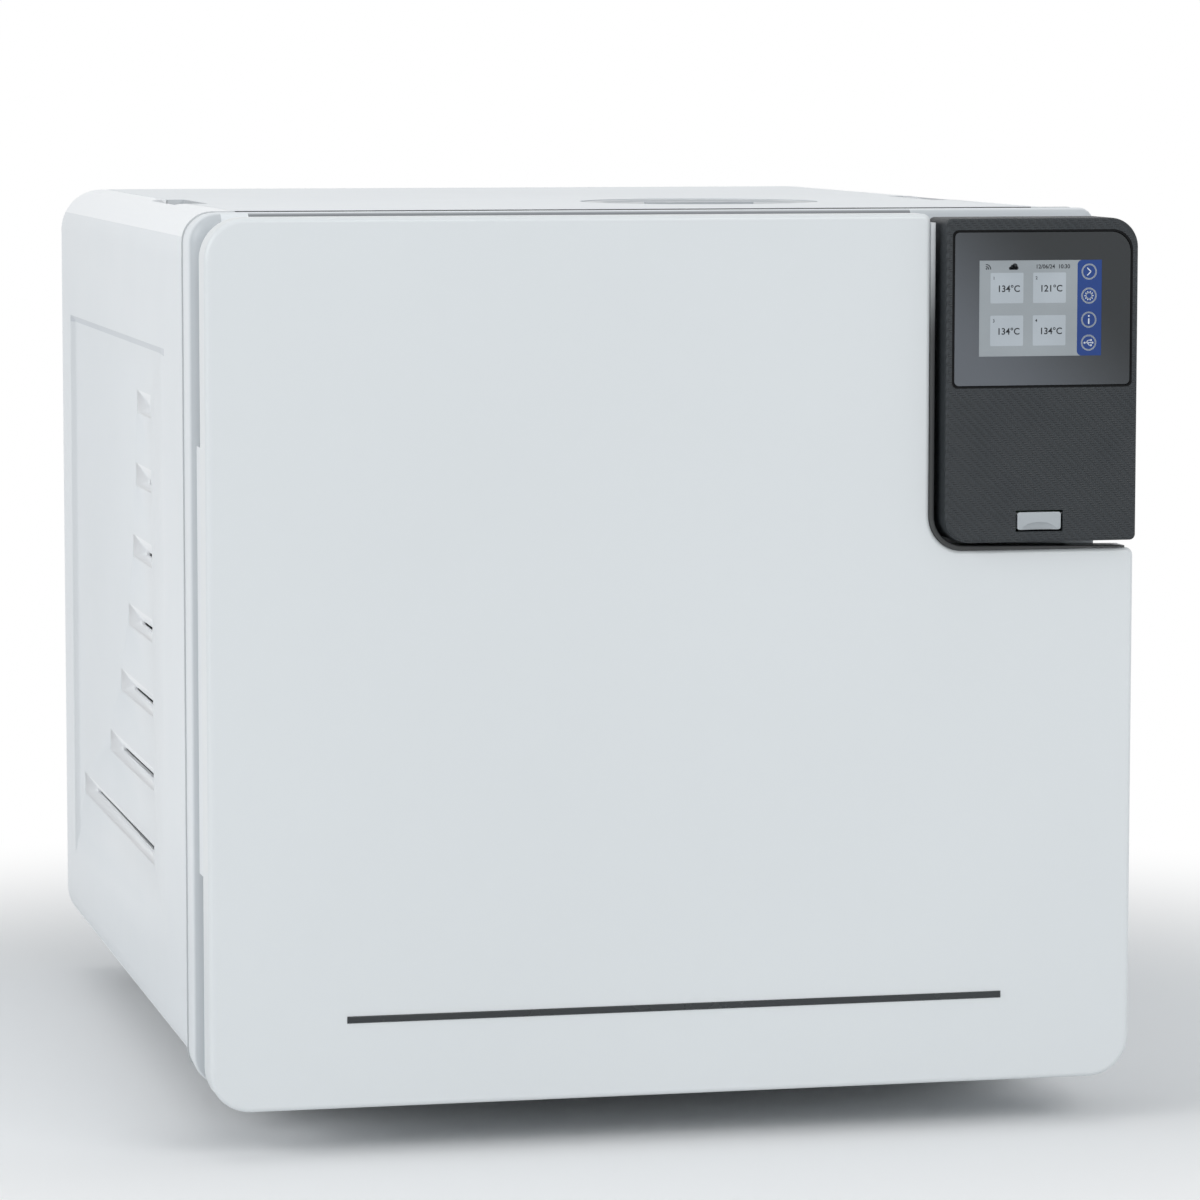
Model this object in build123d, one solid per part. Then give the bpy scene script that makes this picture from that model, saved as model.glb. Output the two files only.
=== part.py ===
from build123d import *
import math
import os

# Bench-top steam sterilizer, millimetres. +X is right and +Y is the rear, seen from the front.
# The origin is on the bench, in the middle of the whole machine.
# Names that end in _IN, _UP or _BAY are distances from the edge or piece that they follow.

# Pressure vessel; the whole machine is laid out round it
CHAMBER_R = 125.0
CHAMBER_L = 350.0
CHAMBER_WALL = 2.5
DOME_R = 30.0
LAGGING_T = 18.0
FLANGE_W = 21.0
FLANGE_T = 14.0
DISC_W = 16.0
DISC_T = 16.0
GASKET_T = 5.7

# Room round the vessel
LEFT_BAY = 45.5
RIGHT_BAY = 145.5
LOW_BAY = 76.5
TOP_BAY = 82.5
REAR_BAY = 191.0
BULKHEAD_BACK = 64.0

# Shell
FOOT_H = 27.0
WALL = 3.0
SHEET = 2.0
SHELL_R = 24.0
REAR_R = 2.5
RUN = 0.05
CLEAR = 0.5

# Door
DOOR_OVER = 1.5
DOOR_DROP = 2.0
SHELL_RISE = 1.0
DOOR_T = 18.0
DOOR_R = 21.0
DOOR_BEVEL = 2.5
CUT_W = 109.2
CUT_H = 171.4
CUT_R = 18.0
CUT_TIP_R = 4.0
LINER_T = 3.0
PLATE_T = 4.0
BOSS_IN = 40.0
BAR_IN = 69.5
BAR_H = 3.5
BAR_UP = 45.1
BAR_SUNK = 1.0
BAR_PROUD = 0.8
DOOR_GAP = 3.0

# Hinge
HINGE_IN = 9.0
HINGE_BACK = 22.0
LUG_R = 5.0
LUG_H = 12.0
PIN_R = 2.5
PIN_DEEP = 20.0
POST_UP = 113.0
POST_DOWN = 116.0

# Front frame
NECK_L = 37.0
LIP_L = 27.0
LIP_BEAD = 7.0
LIP_R = 15.5
LIP_R_PANEL = 8.0
NECK_IN = 14.0
SCOOP_IN = 32.0
SCOOP_DEPTH = 14.0
BLOCK_W = 13.0
BLOCK_IN = 4.0

# Side and top mouldings
SEAM_IN = 27.5
RECESS_FRONT_IN = 65.5
RECESS_REAR_IN = 42.0
RECESS_LOW_IN = 49.0
RECESS_HIGH_IN = 73.0
RECESS_DEPTH = 2.5
SLOPE_FRONT = 35.5
SLOPE_REAR = 5.0
SLOPE_LOW = 15.2
SLOPE_HIGH = 3.0
LOUVRE_FRONT_IN = 35.0
LOUVRE_UP = 25.8
LOUVRE_PITCH = 40.2
LOUVRE_SHARES = (0.829, 0.498, 0.361, 0.267, 0.207, 0.168, 0.148)
LOUVRE_H = 12.5
LOUVRE_DEPTH = 7.0
LOUVRE_SLOT = 3.0
TOP_GAP = 3.0
GRIP_IN = 18.5
GRIP_W = 18.0
GRIP_BACK = 153.0
GRIP_L = 90.0
GRIP_DEPTH = 22.0
LID_IN = 132.0
LID_BACK = 126.0
LID_R = 64.0
LID_T = 3.0

# Tray rack
RACK_IN = 35.0
RACK_SHEET = 1.5
RACK_SHORT = 50.0
RACK_TOP_IN = 8.5
TRAY_SHORT = 20.0
TRAY_H = 12.0
TRAY_SHEET = 1.2
TRAY_UP = 32.5
TRAY_HEAD = 40.0
RAIL_W = 7.0
ROD_R = 3.0

# Control panel
PANEL_GAP = 5.7
PANEL_SIDE_IN = 2.0
PANEL_LOW_GAP = 4.7
PANEL_TOP_IN = 2.2
PANEL_PROUD = 9.0
PANEL_DEPTH = 21.0
PANEL_CORNERS = (13.0, 3.0, 15.0, 3.0)
GLASS_SIDE_IN = 3.3
GLASS_TOP_IN = 6.1
GLASS_H = 79.5
GLASS_T = 2.0
SCREEN_LEFT = 1.2
SCREEN_UP = 0.3
SCREEN_W = 64.8
SCREEN_H = 48.6
SCREEN_FRAME = 4.0
SCREEN_T = 8.0
FLAP_LEFT = 0.9
FLAP_UP = 10.7
FLAP_W = 24.0
FLAP_H = 9.9
FLAP_T = 2.5
TRUNNION_R = 0.7
BOARD_T = 1.6

# Door lock
STRIKER_IN = 54.0
STRIKER_T = 4.0
STRIKER_LEN = 40.0
STRIKER_H = 30.0
EYE_IN = 13.0
BOLT_R = 5.0
BOLT_BACK = 2.0
LOCK_GAP = 6.0
LOCK_H = 60.0

# Inner deck and water
DECK_GAP = 2.5
NECK_RISE = 13.0
TANK_IN = 38.5
TANK_BACK = 44.0
TANK_L = 250.0
NECK_R = 52.0
USED_GAP = 7.0
USED_L = 195.0
USED_H = 160.0
TANK_R = 12.0
FILTER_IN = 60.5
FILTER_R = 22.0
FILTER_GAP = 16.0
FILTER_BACK = 74.0

# Machine bay; the steam generator stands behind the used water tank,
# and the rest is measured forward from the rear rim
GENERATOR_GAP = 20.0
GENERATOR_R = 34.0
GENERATOR_H = 146.0
PUMP_FROM_REAR = 91.0
PUMP_IN = 93.5
MANIFOLD_FROM_REAR = 121.0
MANIFOLD_W = 108.0
WATER_PUMP_FROM_REAR = 71.0
BOARD_FROM_REAR = 191.0
BOARD_L = 140.0
BOARD_W = 250.0
PIPE_R = 4.0
PORT_L = 12.0
PORT_OFF = 60.0

# Rear wall
REAR_IN = 3.0
FITTING_PROUD = 22.0
FAN_LEFT = 70.0
FAN_UP = 18.5
FAN_SIZE = 120.0
FAN_T = 25.0
FAN_BORE = 57.0
CONDENSER_T = 46.0
INLET_IN = 73.5
INLET_UP = 58.0
SWITCH_UP = 52.0
SWITCH_W = 22.0
SWITCH_H = 30.0
SWITCH_TILT = 10.0
VALVE_IN = 53.5
VALVE_DOWN = 62.0
DRAIN_UP = 38.0
DRAIN_LEFT = 105.0
DRAIN_PITCH = 35.0
BARB_R = 5.0
SCREW_IN = 18.0

# Sizes that follow
LAGGING_R = CHAMBER_R + LAGGING_T
FLANGE_R = CHAMBER_R + FLANGE_W
DISC_R = CHAMBER_R + DISC_W
BODY_W = LEFT_BAY + 2 * LAGGING_R + RIGHT_BAY
BODY_H = LOW_BAY + 2 * LAGGING_R + TOP_BAY
DOOR_W = BODY_W + 2 * DOOR_OVER
DOOR_H = BODY_H + DOOR_DROP - SHELL_RISE
DEPTH = BULKHEAD_BACK - FLANGE_T + CHAMBER_L + REAR_BAY
HALF_W = BODY_W / 2
BAR_W = DOOR_W - 2 * BAR_IN
RACK_L = CHAMBER_L - RACK_SHORT
TRAY_L = RACK_L - TRAY_SHORT
RACK_HALF = CHAMBER_R - RACK_IN
RACK_DROP = math.sqrt((CHAMBER_R - 0.3) ** 2 - (RACK_HALF + RACK_SHEET) ** 2)

# Places that follow, front to rear
Y_DOOR = (PANEL_PROUD - DEPTH - FITTING_PROUD) / 2
Y_REAR = Y_DOOR + DEPTH
Y_LINER = Y_DOOR + DOOR_T
Y_PLATE = Y_LINER - PLATE_T
Y_FACE = Y_LINER + LINER_T + DOOR_GAP
Y_HINGE = Y_LINER + HINGE_BACK
Y_LIP = Y_FACE + NECK_L
Y_SEAM = Y_LIP + LIP_L
Y_BULK = Y_DOOR + BULKHEAD_BACK
Y_FLANGE = Y_BULK - FLANGE_T
Y_DISC = Y_FLANGE - CLEAR / 2 - GASKET_T - DISC_T
Y_BACK = Y_REAR - REAR_IN - SHEET
Y_RACK = Y_FLANGE + 16
Y_TANK = Y_BULK + SHEET + TANK_BACK
Y_USED = Y_SEAM + USED_GAP
Y_GENERATOR = Y_USED + USED_L + GENERATOR_GAP + GENERATOR_R + 6
Y_PANEL = Y_DOOR - PANEL_PROUD
Y_BOARD = Y_PANEL + GLASS_T + SCREEN_T
Y_BOLT = Y_LINER + STRIKER_LEN - EYE_IN

# Places that follow, left to right
HINGE_X = HINGE_IN - DOOR_W / 2
NECK_X = DOOR_W / 2 - NECK_IN
CHAMBER_X = LEFT_BAY + LAGGING_R - HALF_W
CUT_X = DOOR_W / 2 - CUT_W
SCOOP_X = SCOOP_IN - DOOR_W / 2
SEAM_X = HALF_W - SEAM_IN
STRIKER_X = DOOR_W / 2 - STRIKER_IN
LOCK_X = STRIKER_X + STRIKER_T + LOCK_GAP
PANEL_X0 = CUT_X + PANEL_GAP
PANEL_X1 = DOOR_W / 2 - PANEL_SIDE_IN
PANEL_X = (PANEL_X0 + PANEL_X1) / 2
TANK_X1 = HALF_W - TANK_IN
FILTER_X = FILTER_IN - HALF_W
TANK_X0 = FILTER_X + FILTER_R + FILTER_GAP
LID_X = TANK_X1 - LID_IN
USED_X0 = CHAMBER_X + LAGGING_R + USED_GAP
USED_X1 = SEAM_X - 2
FAN_X = CHAMBER_X - FAN_LEFT
INLET_X = HALF_W - INLET_IN

# Places that follow, bottom to top
Z_SHELL = FOOT_H
Z_TOP = Z_SHELL + BODY_H
Z_DOOR = Z_SHELL - DOOR_DROP
Z_DOOR_TOP = Z_DOOR + DOOR_H
Z_FLOOR = Z_SHELL + SHEET
Z_CHAMBER = Z_SHELL + LOW_BAY + LAGGING_R
Z_CUT = Z_DOOR_TOP - CUT_H
Z_DECK = Z_CHAMBER + LAGGING_R + DECK_GAP
Z_TANK = Z_DECK + SHEET
TANK_H = Z_TOP - WALL - NECK_RISE - Z_TANK
PANEL_Z0 = Z_CUT + PANEL_LOW_GAP
PANEL_Z1 = Z_DOOR_TOP - PANEL_TOP_IN
GLASS_Z1 = PANEL_Z1 - GLASS_TOP_IN
GLASS_Z0 = GLASS_Z1 - GLASS_H
SCREEN_X = PANEL_X - SCREEN_LEFT
SCREEN_Z = (GLASS_Z0 + GLASS_Z1) / 2 + SCREEN_UP
FLAP_X = PANEL_X - FLAP_LEFT
FLAP_Z = PANEL_Z0 + FLAP_UP
FAN_Z = Z_CHAMBER + FAN_UP
INLET_Z = Z_SHELL + INLET_UP
SWITCH_Z = INLET_Z + SWITCH_UP
LID_Y = Y_TANK + LID_BACK
TRAY_Z0 = Z_CHAMBER - RACK_DROP + TRAY_UP
TRAY_PITCH = (2 * RACK_DROP - RACK_TOP_IN - TRAY_UP - TRAY_HEAD) / 2


def outline(points, radii):
    """Closed outline with one corner radius for each point."""
    return make_face(FilletPolyline(*points, radius=list(radii), close=True).edges())


def slab(face, y0, y1):
    """Face drawn in X and Z, made solid from y0 back to y1."""
    return extrude(Plane.XZ.offset(-y1) * face, y1 - y0)


def rect(x0, x1, z0, z1, radius=0.0):
    return outline([(x0, z0), (x1, z0), (x1, z1), (x0, z1)], [radius] * 4)


def block(x0, x1, y0, y1, z0, z1):
    return Pos((x0 + x1) / 2, (y0 + y1) / 2, (z0 + z1) / 2) * Box(x1 - x0, y1 - y0, z1 - z0)


def rod_x(r, x0, x1, y, z):
    return Pos((x0 + x1) / 2, y, z) * Rot(0, 90, 0) * Cylinder(r, x1 - x0)


def rod_y(r, y0, y1, x, z):
    return Pos(x, (y0 + y1) / 2, z) * Rot(90, 0, 0) * Cylinder(r, y1 - y0)


def rod_z(r, z0, z1, x, y):
    return Pos(x, y, (z0 + z1) / 2) * Cylinder(r, z1 - z0)


def turned_y(points, radii, x, y, z):
    """Solid of revolution about a line along Y; each point is (radius, distance back)."""
    return Pos(x, y, z) * revolve(outline(points, radii), Axis.Y)


def turned_z(points, radii, x, y, z):
    """Solid of revolution about a vertical line; each point is (radius, height)."""
    return Pos(x, y, z) * Rot(90, 0, 0) * revolve(outline(points, radii), Axis.Y)


def ring_y(r_out, r_in, y0, y1, x, z):
    return rod_y(r_out, y0, y1, x, z) - rod_y(r_in, y0 - 1, y1 + 1, x, z)


def front_rim(part):
    """Edges round the foremost face."""
    return part.faces().sort_by(Axis.Y)[0].edges()


# Door

def door_outline(inset):
    """L-shaped outline of the door, drawn in by an inset."""
    x0 = inset - DOOR_W / 2
    x1 = DOOR_W / 2 - inset
    z0 = Z_DOOR + inset
    z1 = Z_DOOR_TOP - inset
    cut_x = CUT_X - inset
    cut_z = Z_CUT - inset
    r = DOOR_R - inset
    tip = max(CUT_TIP_R - inset, 0.8)
    points = [(x0, z0), (x1, z0), (x1, cut_z), (cut_x, cut_z), (cut_x, z1), (x0, z1)]
    return outline(points, [r, r, tip, CUT_R + inset, tip, r])


def lug_heights():
    """Lowest and highest point of each hinge lug."""
    low = Z_DOOR + POST_UP - CLEAR
    high = Z_DOOR_TOP - POST_DOWN + CLEAR
    return [(low - LUG_H, low), (high, high + LUG_H)]


def boss_places():
    """Where the cover is screwed to the door plate."""
    right = DOOR_W / 2 - BOSS_IN
    low = Z_DOOR + BOSS_IN
    high = Z_DOOR_TOP - BOSS_IN
    inner = CUT_X - BOSS_IN
    return [(-right, low), (right, low), (-right, high), (inner, high), (inner, low),
            (right, Z_CUT - BOSS_IN)]


def door_cover():
    cover = slab(door_outline(0), Y_DOOR, Y_LINER)
    cover = fillet(front_rim(cover), DOOR_BEVEL)
    cover -= slab(door_outline(WALL), Y_DOOR + WALL, Y_LINER + 1)
    for x, z in boss_places():
        cover += rod_y(6, Y_DOOR + WALL, Y_PLATE, x, z)
    return cover - bar_shape(Y_DOOR - 1, Y_DOOR + BAR_SUNK)


def bar_shape(y0, y1):
    z = Z_DOOR + BAR_UP
    return block(-BAR_W / 2, BAR_W / 2, y0, y1, z - BAR_H / 2, z + BAR_H / 2)


def trim_bar():
    bar = bar_shape(Y_DOOR - BAR_PROUD, Y_DOOR + BAR_SUNK)
    return chamfer(front_rim(bar), 0.5)


def door_plate():
    """Steel plate that carries the pressure disc and ends in the two hinge lugs."""
    plate = slab(door_outline(WALL + CLEAR), Y_PLATE, Y_LINER)
    for z0, z1 in lug_heights():
        plate += block(HINGE_X - LUG_R, HINGE_X + LUG_R, Y_PLATE, Y_HINGE, z0, z1)
        plate += rod_z(LUG_R, z0, z1, HINGE_X, Y_HINGE)
        plate -= rod_z(PIN_R + RUN, z0 - 1, z1 + 1, HINGE_X, Y_HINGE)
    return plate


def door_liner():
    liner = slab(door_outline(WALL), Y_LINER, Y_LINER + LINER_T)
    liner -= rod_y(DISC_R / 3 + CLEAR, Y_LINER - 1, Y_FACE, CHAMBER_X, Z_CHAMBER)
    for z0, z1 in lug_heights():
        liner -= block(-DOOR_W, HINGE_X + LUG_R + CLEAR, Y_LINER - 1, Y_FACE, z0 - CLEAR, z1 + CLEAR)
    x = STRIKER_X + STRIKER_T / 2
    z = Z_CHAMBER
    liner -= block(x - 8, x + 8, Y_LINER - 1, Y_FACE, z - STRIKER_H / 2 - 6, z + STRIKER_H / 2 + 6)
    return liner


def pressure_disc():
    """Steel disc with a turned rim, carried on its centre boss."""
    points = [(0, 0), (DISC_R, 0), (DISC_R, DISC_T), (CHAMBER_R - 6, DISC_T),
              (CHAMBER_R - 16, DISC_T - 4), (0, DISC_T - 4)]
    disc = turned_y(points, [0, 3, 2, 1, 1, 0], CHAMBER_X, Y_DISC, Z_CHAMBER)
    return disc + rod_y(DISC_R / 3, Y_LINER, Y_DISC, CHAMBER_X, Z_CHAMBER)


def door_gasket():
    r0 = CHAMBER_R + 2
    r1 = CHAMBER_R + 12
    points = [(r0, 0), (r1, 0), (r1, GASKET_T), (r0, GASKET_T)]
    return turned_y(points, [0.5, 0.5, 2.5, 2.5], CHAMBER_X, Y_DISC + DISC_T, Z_CHAMBER)


def door_striker():
    x = STRIKER_X
    z = Z_CHAMBER
    half = STRIKER_H / 2
    striker = block(x, x + STRIKER_T, Y_LINER, Y_LINER + STRIKER_LEN, z - half, z + half)
    striker += block(x - 5, x + STRIKER_T + 5, Y_LINER, Y_LINER + LINER_T, z - half - 5, z + half + 5)
    return striker - rod_x(BOLT_R + 2, x - 1, x + STRIKER_T + 1, Y_BOLT, z)


# Front frame, hinge and lock

def neck_outline(inset):
    x = NECK_X - inset
    return rect(-x, x, Z_DOOR + NECK_IN + inset, Z_DOOR_TOP - NECK_IN - inset, DOOR_R - 6 - inset)


def front_frame():
    z_neck = Z_DOOR_TOP - NECK_IN
    neck = slab(neck_outline(0), Y_FACE, Y_LIP)
    neck -= slab(neck_outline(WALL), Y_FACE + WALL, Y_LIP + 1)
    z_scoop = z_neck - SCOOP_DEPTH
    neck += block(SCOOP_X - WALL, CUT_X - 1 + WALL, Y_FACE, Y_LIP, z_scoop - WALL, z_neck)
    neck -= block(SCOOP_X, CUT_X - 1, Y_FACE - 1, Y_LIP, z_scoop, z_neck + 1)
    neck += block(SCOOP_X - BLOCK_W, SCOOP_X, Y_FACE, Y_LIP + WALL, z_scoop, Z_DOOR_TOP - BLOCK_IN)
    corners = [(-HALF_W, Z_SHELL), (HALF_W, Z_SHELL), (HALF_W, Z_TOP), (-HALF_W, Z_TOP)]
    outer = slab(outline(corners, [LIP_R, LIP_R, LIP_R_PANEL, LIP_R]), Y_LIP, Y_SEAM)
    lip = fillet(front_rim(outer), LIP_BEAD)
    inner = rect(WALL - HALF_W, HALF_W - WALL, Z_SHELL + WALL, Z_TOP - WALL, SHELL_R - WALL)
    lip -= slab(inner, Y_BULK, Y_SEAM + 1)
    passage = slab(neck_outline(WALL), Y_LIP - 1, Y_SEAM)
    lip -= passage - block(-HALF_W, HALF_W, Y_LIP, Y_SEAM, z_scoop - WALL, Z_TOP)
    frame = neck + lip
    well_r = FLANGE_R + 4
    frame -= rod_y(well_r, Y_FACE - 1, Y_BULK + 1, CHAMBER_X, Z_CHAMBER)
    frame += ring_y(well_r + WALL, well_r, Y_FACE, Y_BULK, CHAMBER_X, Z_CHAMBER)
    x = STRIKER_X + STRIKER_T / 2
    half = STRIKER_H / 2 + 3
    return frame - block(x - 5, x + 5, Y_FACE - 1, Y_FACE + WALL + 1, Z_CHAMBER - half, Z_CHAMBER + half)


def hinge_post():
    z0 = Z_DOOR + POST_UP
    z1 = Z_DOOR_TOP - POST_DOWN
    post = block(HINGE_X - LUG_R, -NECK_X, Y_FACE, Y_LIP - 2, z0, z1)
    corners = post.edges().filter_by(Axis.Z).filter_by(lambda e: e.center().X < HINGE_X)
    post = fillet(corners, 2)
    for z in (z0, z1):
        post -= rod_z(PIN_R, z - PIN_DEEP, z + PIN_DEEP, HINGE_X, Y_HINGE)
    return post


def hinge_pins():
    length = LUG_H + CLEAR + 2
    low = Z_DOOR + POST_UP
    high = Z_DOOR_TOP - POST_DOWN
    return [rod_z(PIN_R, low - length, low + PIN_DEEP, HINGE_X, Y_HINGE),
            rod_z(PIN_R, high - PIN_DEEP, high + length, HINGE_X, Y_HINGE)]


def bulkhead():
    """Steel wall behind the front frame; the vessel's flange is clamped to it."""
    face = rect(5 - HALF_W, HALF_W - 5, Z_SHELL + 6, Z_TOP - 6, SHELL_R - 6)
    wall = slab(face, Y_BULK, Y_BULK + SHEET)
    r = CHAMBER_R + CHAMBER_WALL + 0.3
    return wall - rod_y(r, Y_BULK - 1, Y_BULK + SHEET + 1, CHAMBER_X, Z_CHAMBER)


def lock_housing():
    z = Z_CHAMBER
    housing = block(LOCK_X, NECK_X - WALL, Y_FACE + WALL + 5, Y_BULK, z - LOCK_H / 2, z + LOCK_H / 2)
    housing = fillet(housing.edges().filter_by(Axis.X), 3)
    return housing - rod_x(BOLT_R + RUN, LOCK_X - 1, NECK_X, Y_BOLT, z)


def lock_bolt():
    z = Z_CHAMBER
    bolt = rod_x(BOLT_R, STRIKER_X + STRIKER_T + BOLT_BACK, NECK_X - WALL - 1, Y_BOLT, z)
    return chamfer(bolt.faces().sort_by(Axis.X)[0].edges(), 1.5)


# Side, top, rear and bottom of the shell

def frustum(x0, box0, x1, box1):
    """Tapered block between two rectangles (y0, y1, z0, z1) that lie at x0 and x1."""
    faces = []
    for x, (y0, y1, z0, z1) in ((x0, box0), (x1, box1)):
        plane = Plane(origin=(x, (y0 + y1) / 2, (z0 + z1) / 2), x_dir=(0, 1, 0), z_dir=(1, 0, 0))
        faces.append(plane * Rectangle(y1 - y0, z1 - z0))
    return loft(faces, ruled=True)


def recess(grow):
    """Sloped recess in the right-hand side; grow makes the bump behind it."""
    mouth = (Y_SEAM + RECESS_FRONT_IN - grow, Y_REAR - RECESS_REAR_IN + grow,
             Z_SHELL + RECESS_LOW_IN - grow, Z_TOP - RECESS_HIGH_IN + grow)
    floor = (mouth[0] + SLOPE_FRONT, mouth[1] - SLOPE_REAR, mouth[2] + SLOPE_LOW, mouth[3] - SLOPE_HIGH)
    return frustum(HALF_W - RECESS_DEPTH - grow, floor, HALF_W, mouth)


def louvres():
    """Front end, rear end and bottom of each louvre, lowest first."""
    y = Y_SEAM + RECESS_FRONT_IN + SLOPE_FRONT + LOUVRE_FRONT_IN
    floor = Y_REAR - RECESS_REAR_IN - SLOPE_REAR - (y - LOUVRE_FRONT_IN)
    z = Z_SHELL + RECESS_LOW_IN + SLOPE_LOW + LOUVRE_UP
    return [(y, y + share * floor, z + i * LOUVRE_PITCH) for i, share in enumerate(LOUVRE_SHARES)]


def louvre(y0, y1, z, grow):
    """Wedge whose floor slopes inward as it goes down."""
    x = HALF_W - RECESS_DEPTH
    back = x - LOUVRE_DEPTH - grow
    low = z - grow
    high = z + LOUVRE_H + grow
    points = [(x + 0.5, low), (x + 0.5, high), (x, high), (back, z + LOUVRE_SLOT), (back, low)]
    return slab(make_face(Polyline(*points, close=True)), y0 - grow, y1 + grow)


def grip_limits(side):
    """Where the lifting grip in the top edge begins and ends, on one side."""
    x0, x1 = sorted((side * (HALF_W - GRIP_IN - GRIP_W), side * (HALF_W - GRIP_IN)))
    y0 = Y_SEAM + GRIP_BACK
    return x0, x1, y0, y0 + GRIP_L


def grip_space(side):
    return block(*grip_limits(side), Z_TOP - GRIP_DEPTH, Z_TOP + 1)


def flanges(x0, x1, y0, y1, z0, z1, sheet):
    """Four upright plates round a rectangle, welded at the corners."""
    return [block(x0, x1, y0, y0 + sheet, z0, z1), block(x0, x1, y1 - sheet, y1, z0, z1),
            block(x0, x0 + sheet, y0 + sheet, y1 - sheet, z0, z1),
            block(x1 - sheet, x1, y0 + sheet, y1 - sheet, z0, z1)]


def side_panel():
    """Right-hand side moulding, wrapped over the top and the bottom edge."""
    x0 = SEAM_X
    points = [(x0, Z_TOP), (HALF_W, Z_TOP), (HALF_W, Z_SHELL), (x0, Z_SHELL)]
    panel = slab(outline(points, [0, SHELL_R, SHELL_R, 0]), Y_SEAM, Y_REAR)
    rim = panel.faces().sort_by(Axis.Y)[-1].edges().filter_by(lambda e: e.center().X > x0 + 0.01)
    panel = fillet(rim, REAR_R)
    points = [(x0 - 1, Z_TOP - WALL), (HALF_W - WALL, Z_TOP - WALL), (HALF_W - WALL, Z_SHELL + WALL),
              (x0 - 1, Z_SHELL + WALL)]
    panel -= slab(outline(points, [0, SHELL_R - WALL, SHELL_R - WALL, 0]), Y_SEAM - 1, Y_REAR + 1)
    panel += recess(WALL) & block(0, HALF_W - WALL / 2, Y_SEAM, Y_REAR, Z_SHELL, Z_TOP)
    panel -= recess(0)
    behind = block(0, HALF_W - RECESS_DEPTH - 0.5, Y_SEAM, Y_REAR, Z_SHELL, Z_TOP)
    for y0, y1, z in louvres():
        panel += louvre(y0, y1, z, SHEET) & behind
    x = HALF_W - RECESS_DEPTH - LOUVRE_DEPTH
    for y0, y1, z in louvres():
        panel -= louvre(y0, y1, z, 0)
        panel -= block(x - SHEET - 1, x + 1, y0 + 2, y1 - 2, z + 0.3, z + LOUVRE_SLOT)
    return panel - grip_space(1)


def grip_pocket(side):
    """Sheet pocket behind the grip: a floor with four plates on it."""
    limits = grip_limits(side)
    z0 = Z_TOP - GRIP_DEPTH
    return [block(*limits, z0, z0 + SHEET)] + flanges(*limits, z0 + SHEET, Z_TOP - WALL - 1, SHEET)


def top_cover():
    cover = block(-SEAM_X, SEAM_X, Y_SEAM + TOP_GAP, Y_REAR, Z_TOP - WALL, Z_TOP)
    half = SEAM_X - SHELL_R
    cover += block(-half, half, Y_SEAM - TOP_GAP, Y_SEAM + 2 * TOP_GAP, Z_TOP - 2 * WALL, Z_TOP - WALL)
    cover -= rod_z(LID_R + 1, Z_TOP - WALL - 1, Z_TOP + 1, LID_X, LID_Y)
    for side in (-1, 1):
        cover -= grip_space(side)
    return cover


def fill_neck():
    """Ring under the lid that guides water into the tank."""
    r1 = LID_R + 8
    points = [(NECK_R, 0), (NECK_R + SHEET, 0), (NECK_R + SHEET, NECK_RISE - SHEET), (r1, NECK_RISE - SHEET),
              (r1, NECK_RISE), (NECK_R, NECK_RISE)]
    return turned_z(points, [0] * 6, LID_X, LID_Y, Z_TANK + TANK_H)


def fill_lid():
    """Lift-off lid with a finger groove and a skirt that drops into the neck."""
    z0 = Z_TOP - WALL
    rim = LID_T - 0.4
    skirt = NECK_R - CLEAR
    points = [(0, 0), (skirt - 2.5, 0), (skirt - 2.5, -5), (skirt, -5), (skirt, 0), (LID_R, 0), (LID_R, rim),
              (LID_R - 10, rim), (LID_R - 12, rim - 1), (0, rim - 1)]
    lid = turned_z(points, [0, 0, 0.5, 0.5, 0, 0.3, 0.8, 0.5, 0.5, 0], LID_X, LID_Y, z0)
    return lid + block(LID_X - 30, LID_X + 30, LID_Y - 3, LID_Y + 3, z0 + 1, z0 + rim)


def rear_panel():
    face = rect(WALL - HALF_W, HALF_W - WALL, Z_SHELL + WALL, Z_TOP - WALL, SHELL_R - WALL)
    wall = slab(face, Y_BACK, Y_BACK + SHEET)
    pitch = (FAN_BORE - 2) / 5
    for row in range(-4, 5):
        z = FAN_Z + row * pitch
        half = math.sqrt((FAN_BORE - 4) ** 2 - (row * pitch) ** 2)
        wall -= slab(rect(FAN_X - half, FAN_X + half, z - 3, z + 3, 2.9), Y_BACK - 1, Y_REAR)
    wall -= inlet_body()
    wall -= switch_body()
    for x, zc, r in rear_ports():
        wall -= rod_y(r, Y_BACK - 1, Y_REAR, x, zc)
    return wall


def rear_ports():
    """Holes for the safety valve and the two drains."""
    x = INLET_X - DRAIN_LEFT
    z = Z_SHELL + DRAIN_UP
    r = BARB_R + 3
    return [(VALVE_IN - HALF_W, Z_TOP - VALVE_DOWN, 10.0), (x, z, r), (x + DRAIN_PITCH, z, r)]


def base_plate():
    return block(-SEAM_X, SEAM_X, Y_SEAM, Y_BACK, Z_SHELL, Z_FLOOR)


def feet():
    half = SEAM_X - 31
    places = [(x, y) for x in (-half, half) for y in (Y_SEAM + 60, Y_REAR - 60)]
    shape = [(0, 0), (16, 0), (20, FOOT_H - 4), (20, FOOT_H), (0, FOOT_H)]
    return [turned_z(shape, [0, 2, 1, 1, 0], x, y, 0) for x, y in places]


# Control panel

def panel_outline(inset):
    z0 = PANEL_Z0 + inset
    z1 = PANEL_Z1 - inset
    x0 = PANEL_X0 + inset
    x1 = PANEL_X1 - inset
    return outline([(x0, z0), (x1, z0), (x1, z1), (x0, z1)], [max(r - inset, 0.8) for r in PANEL_CORNERS])


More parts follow.
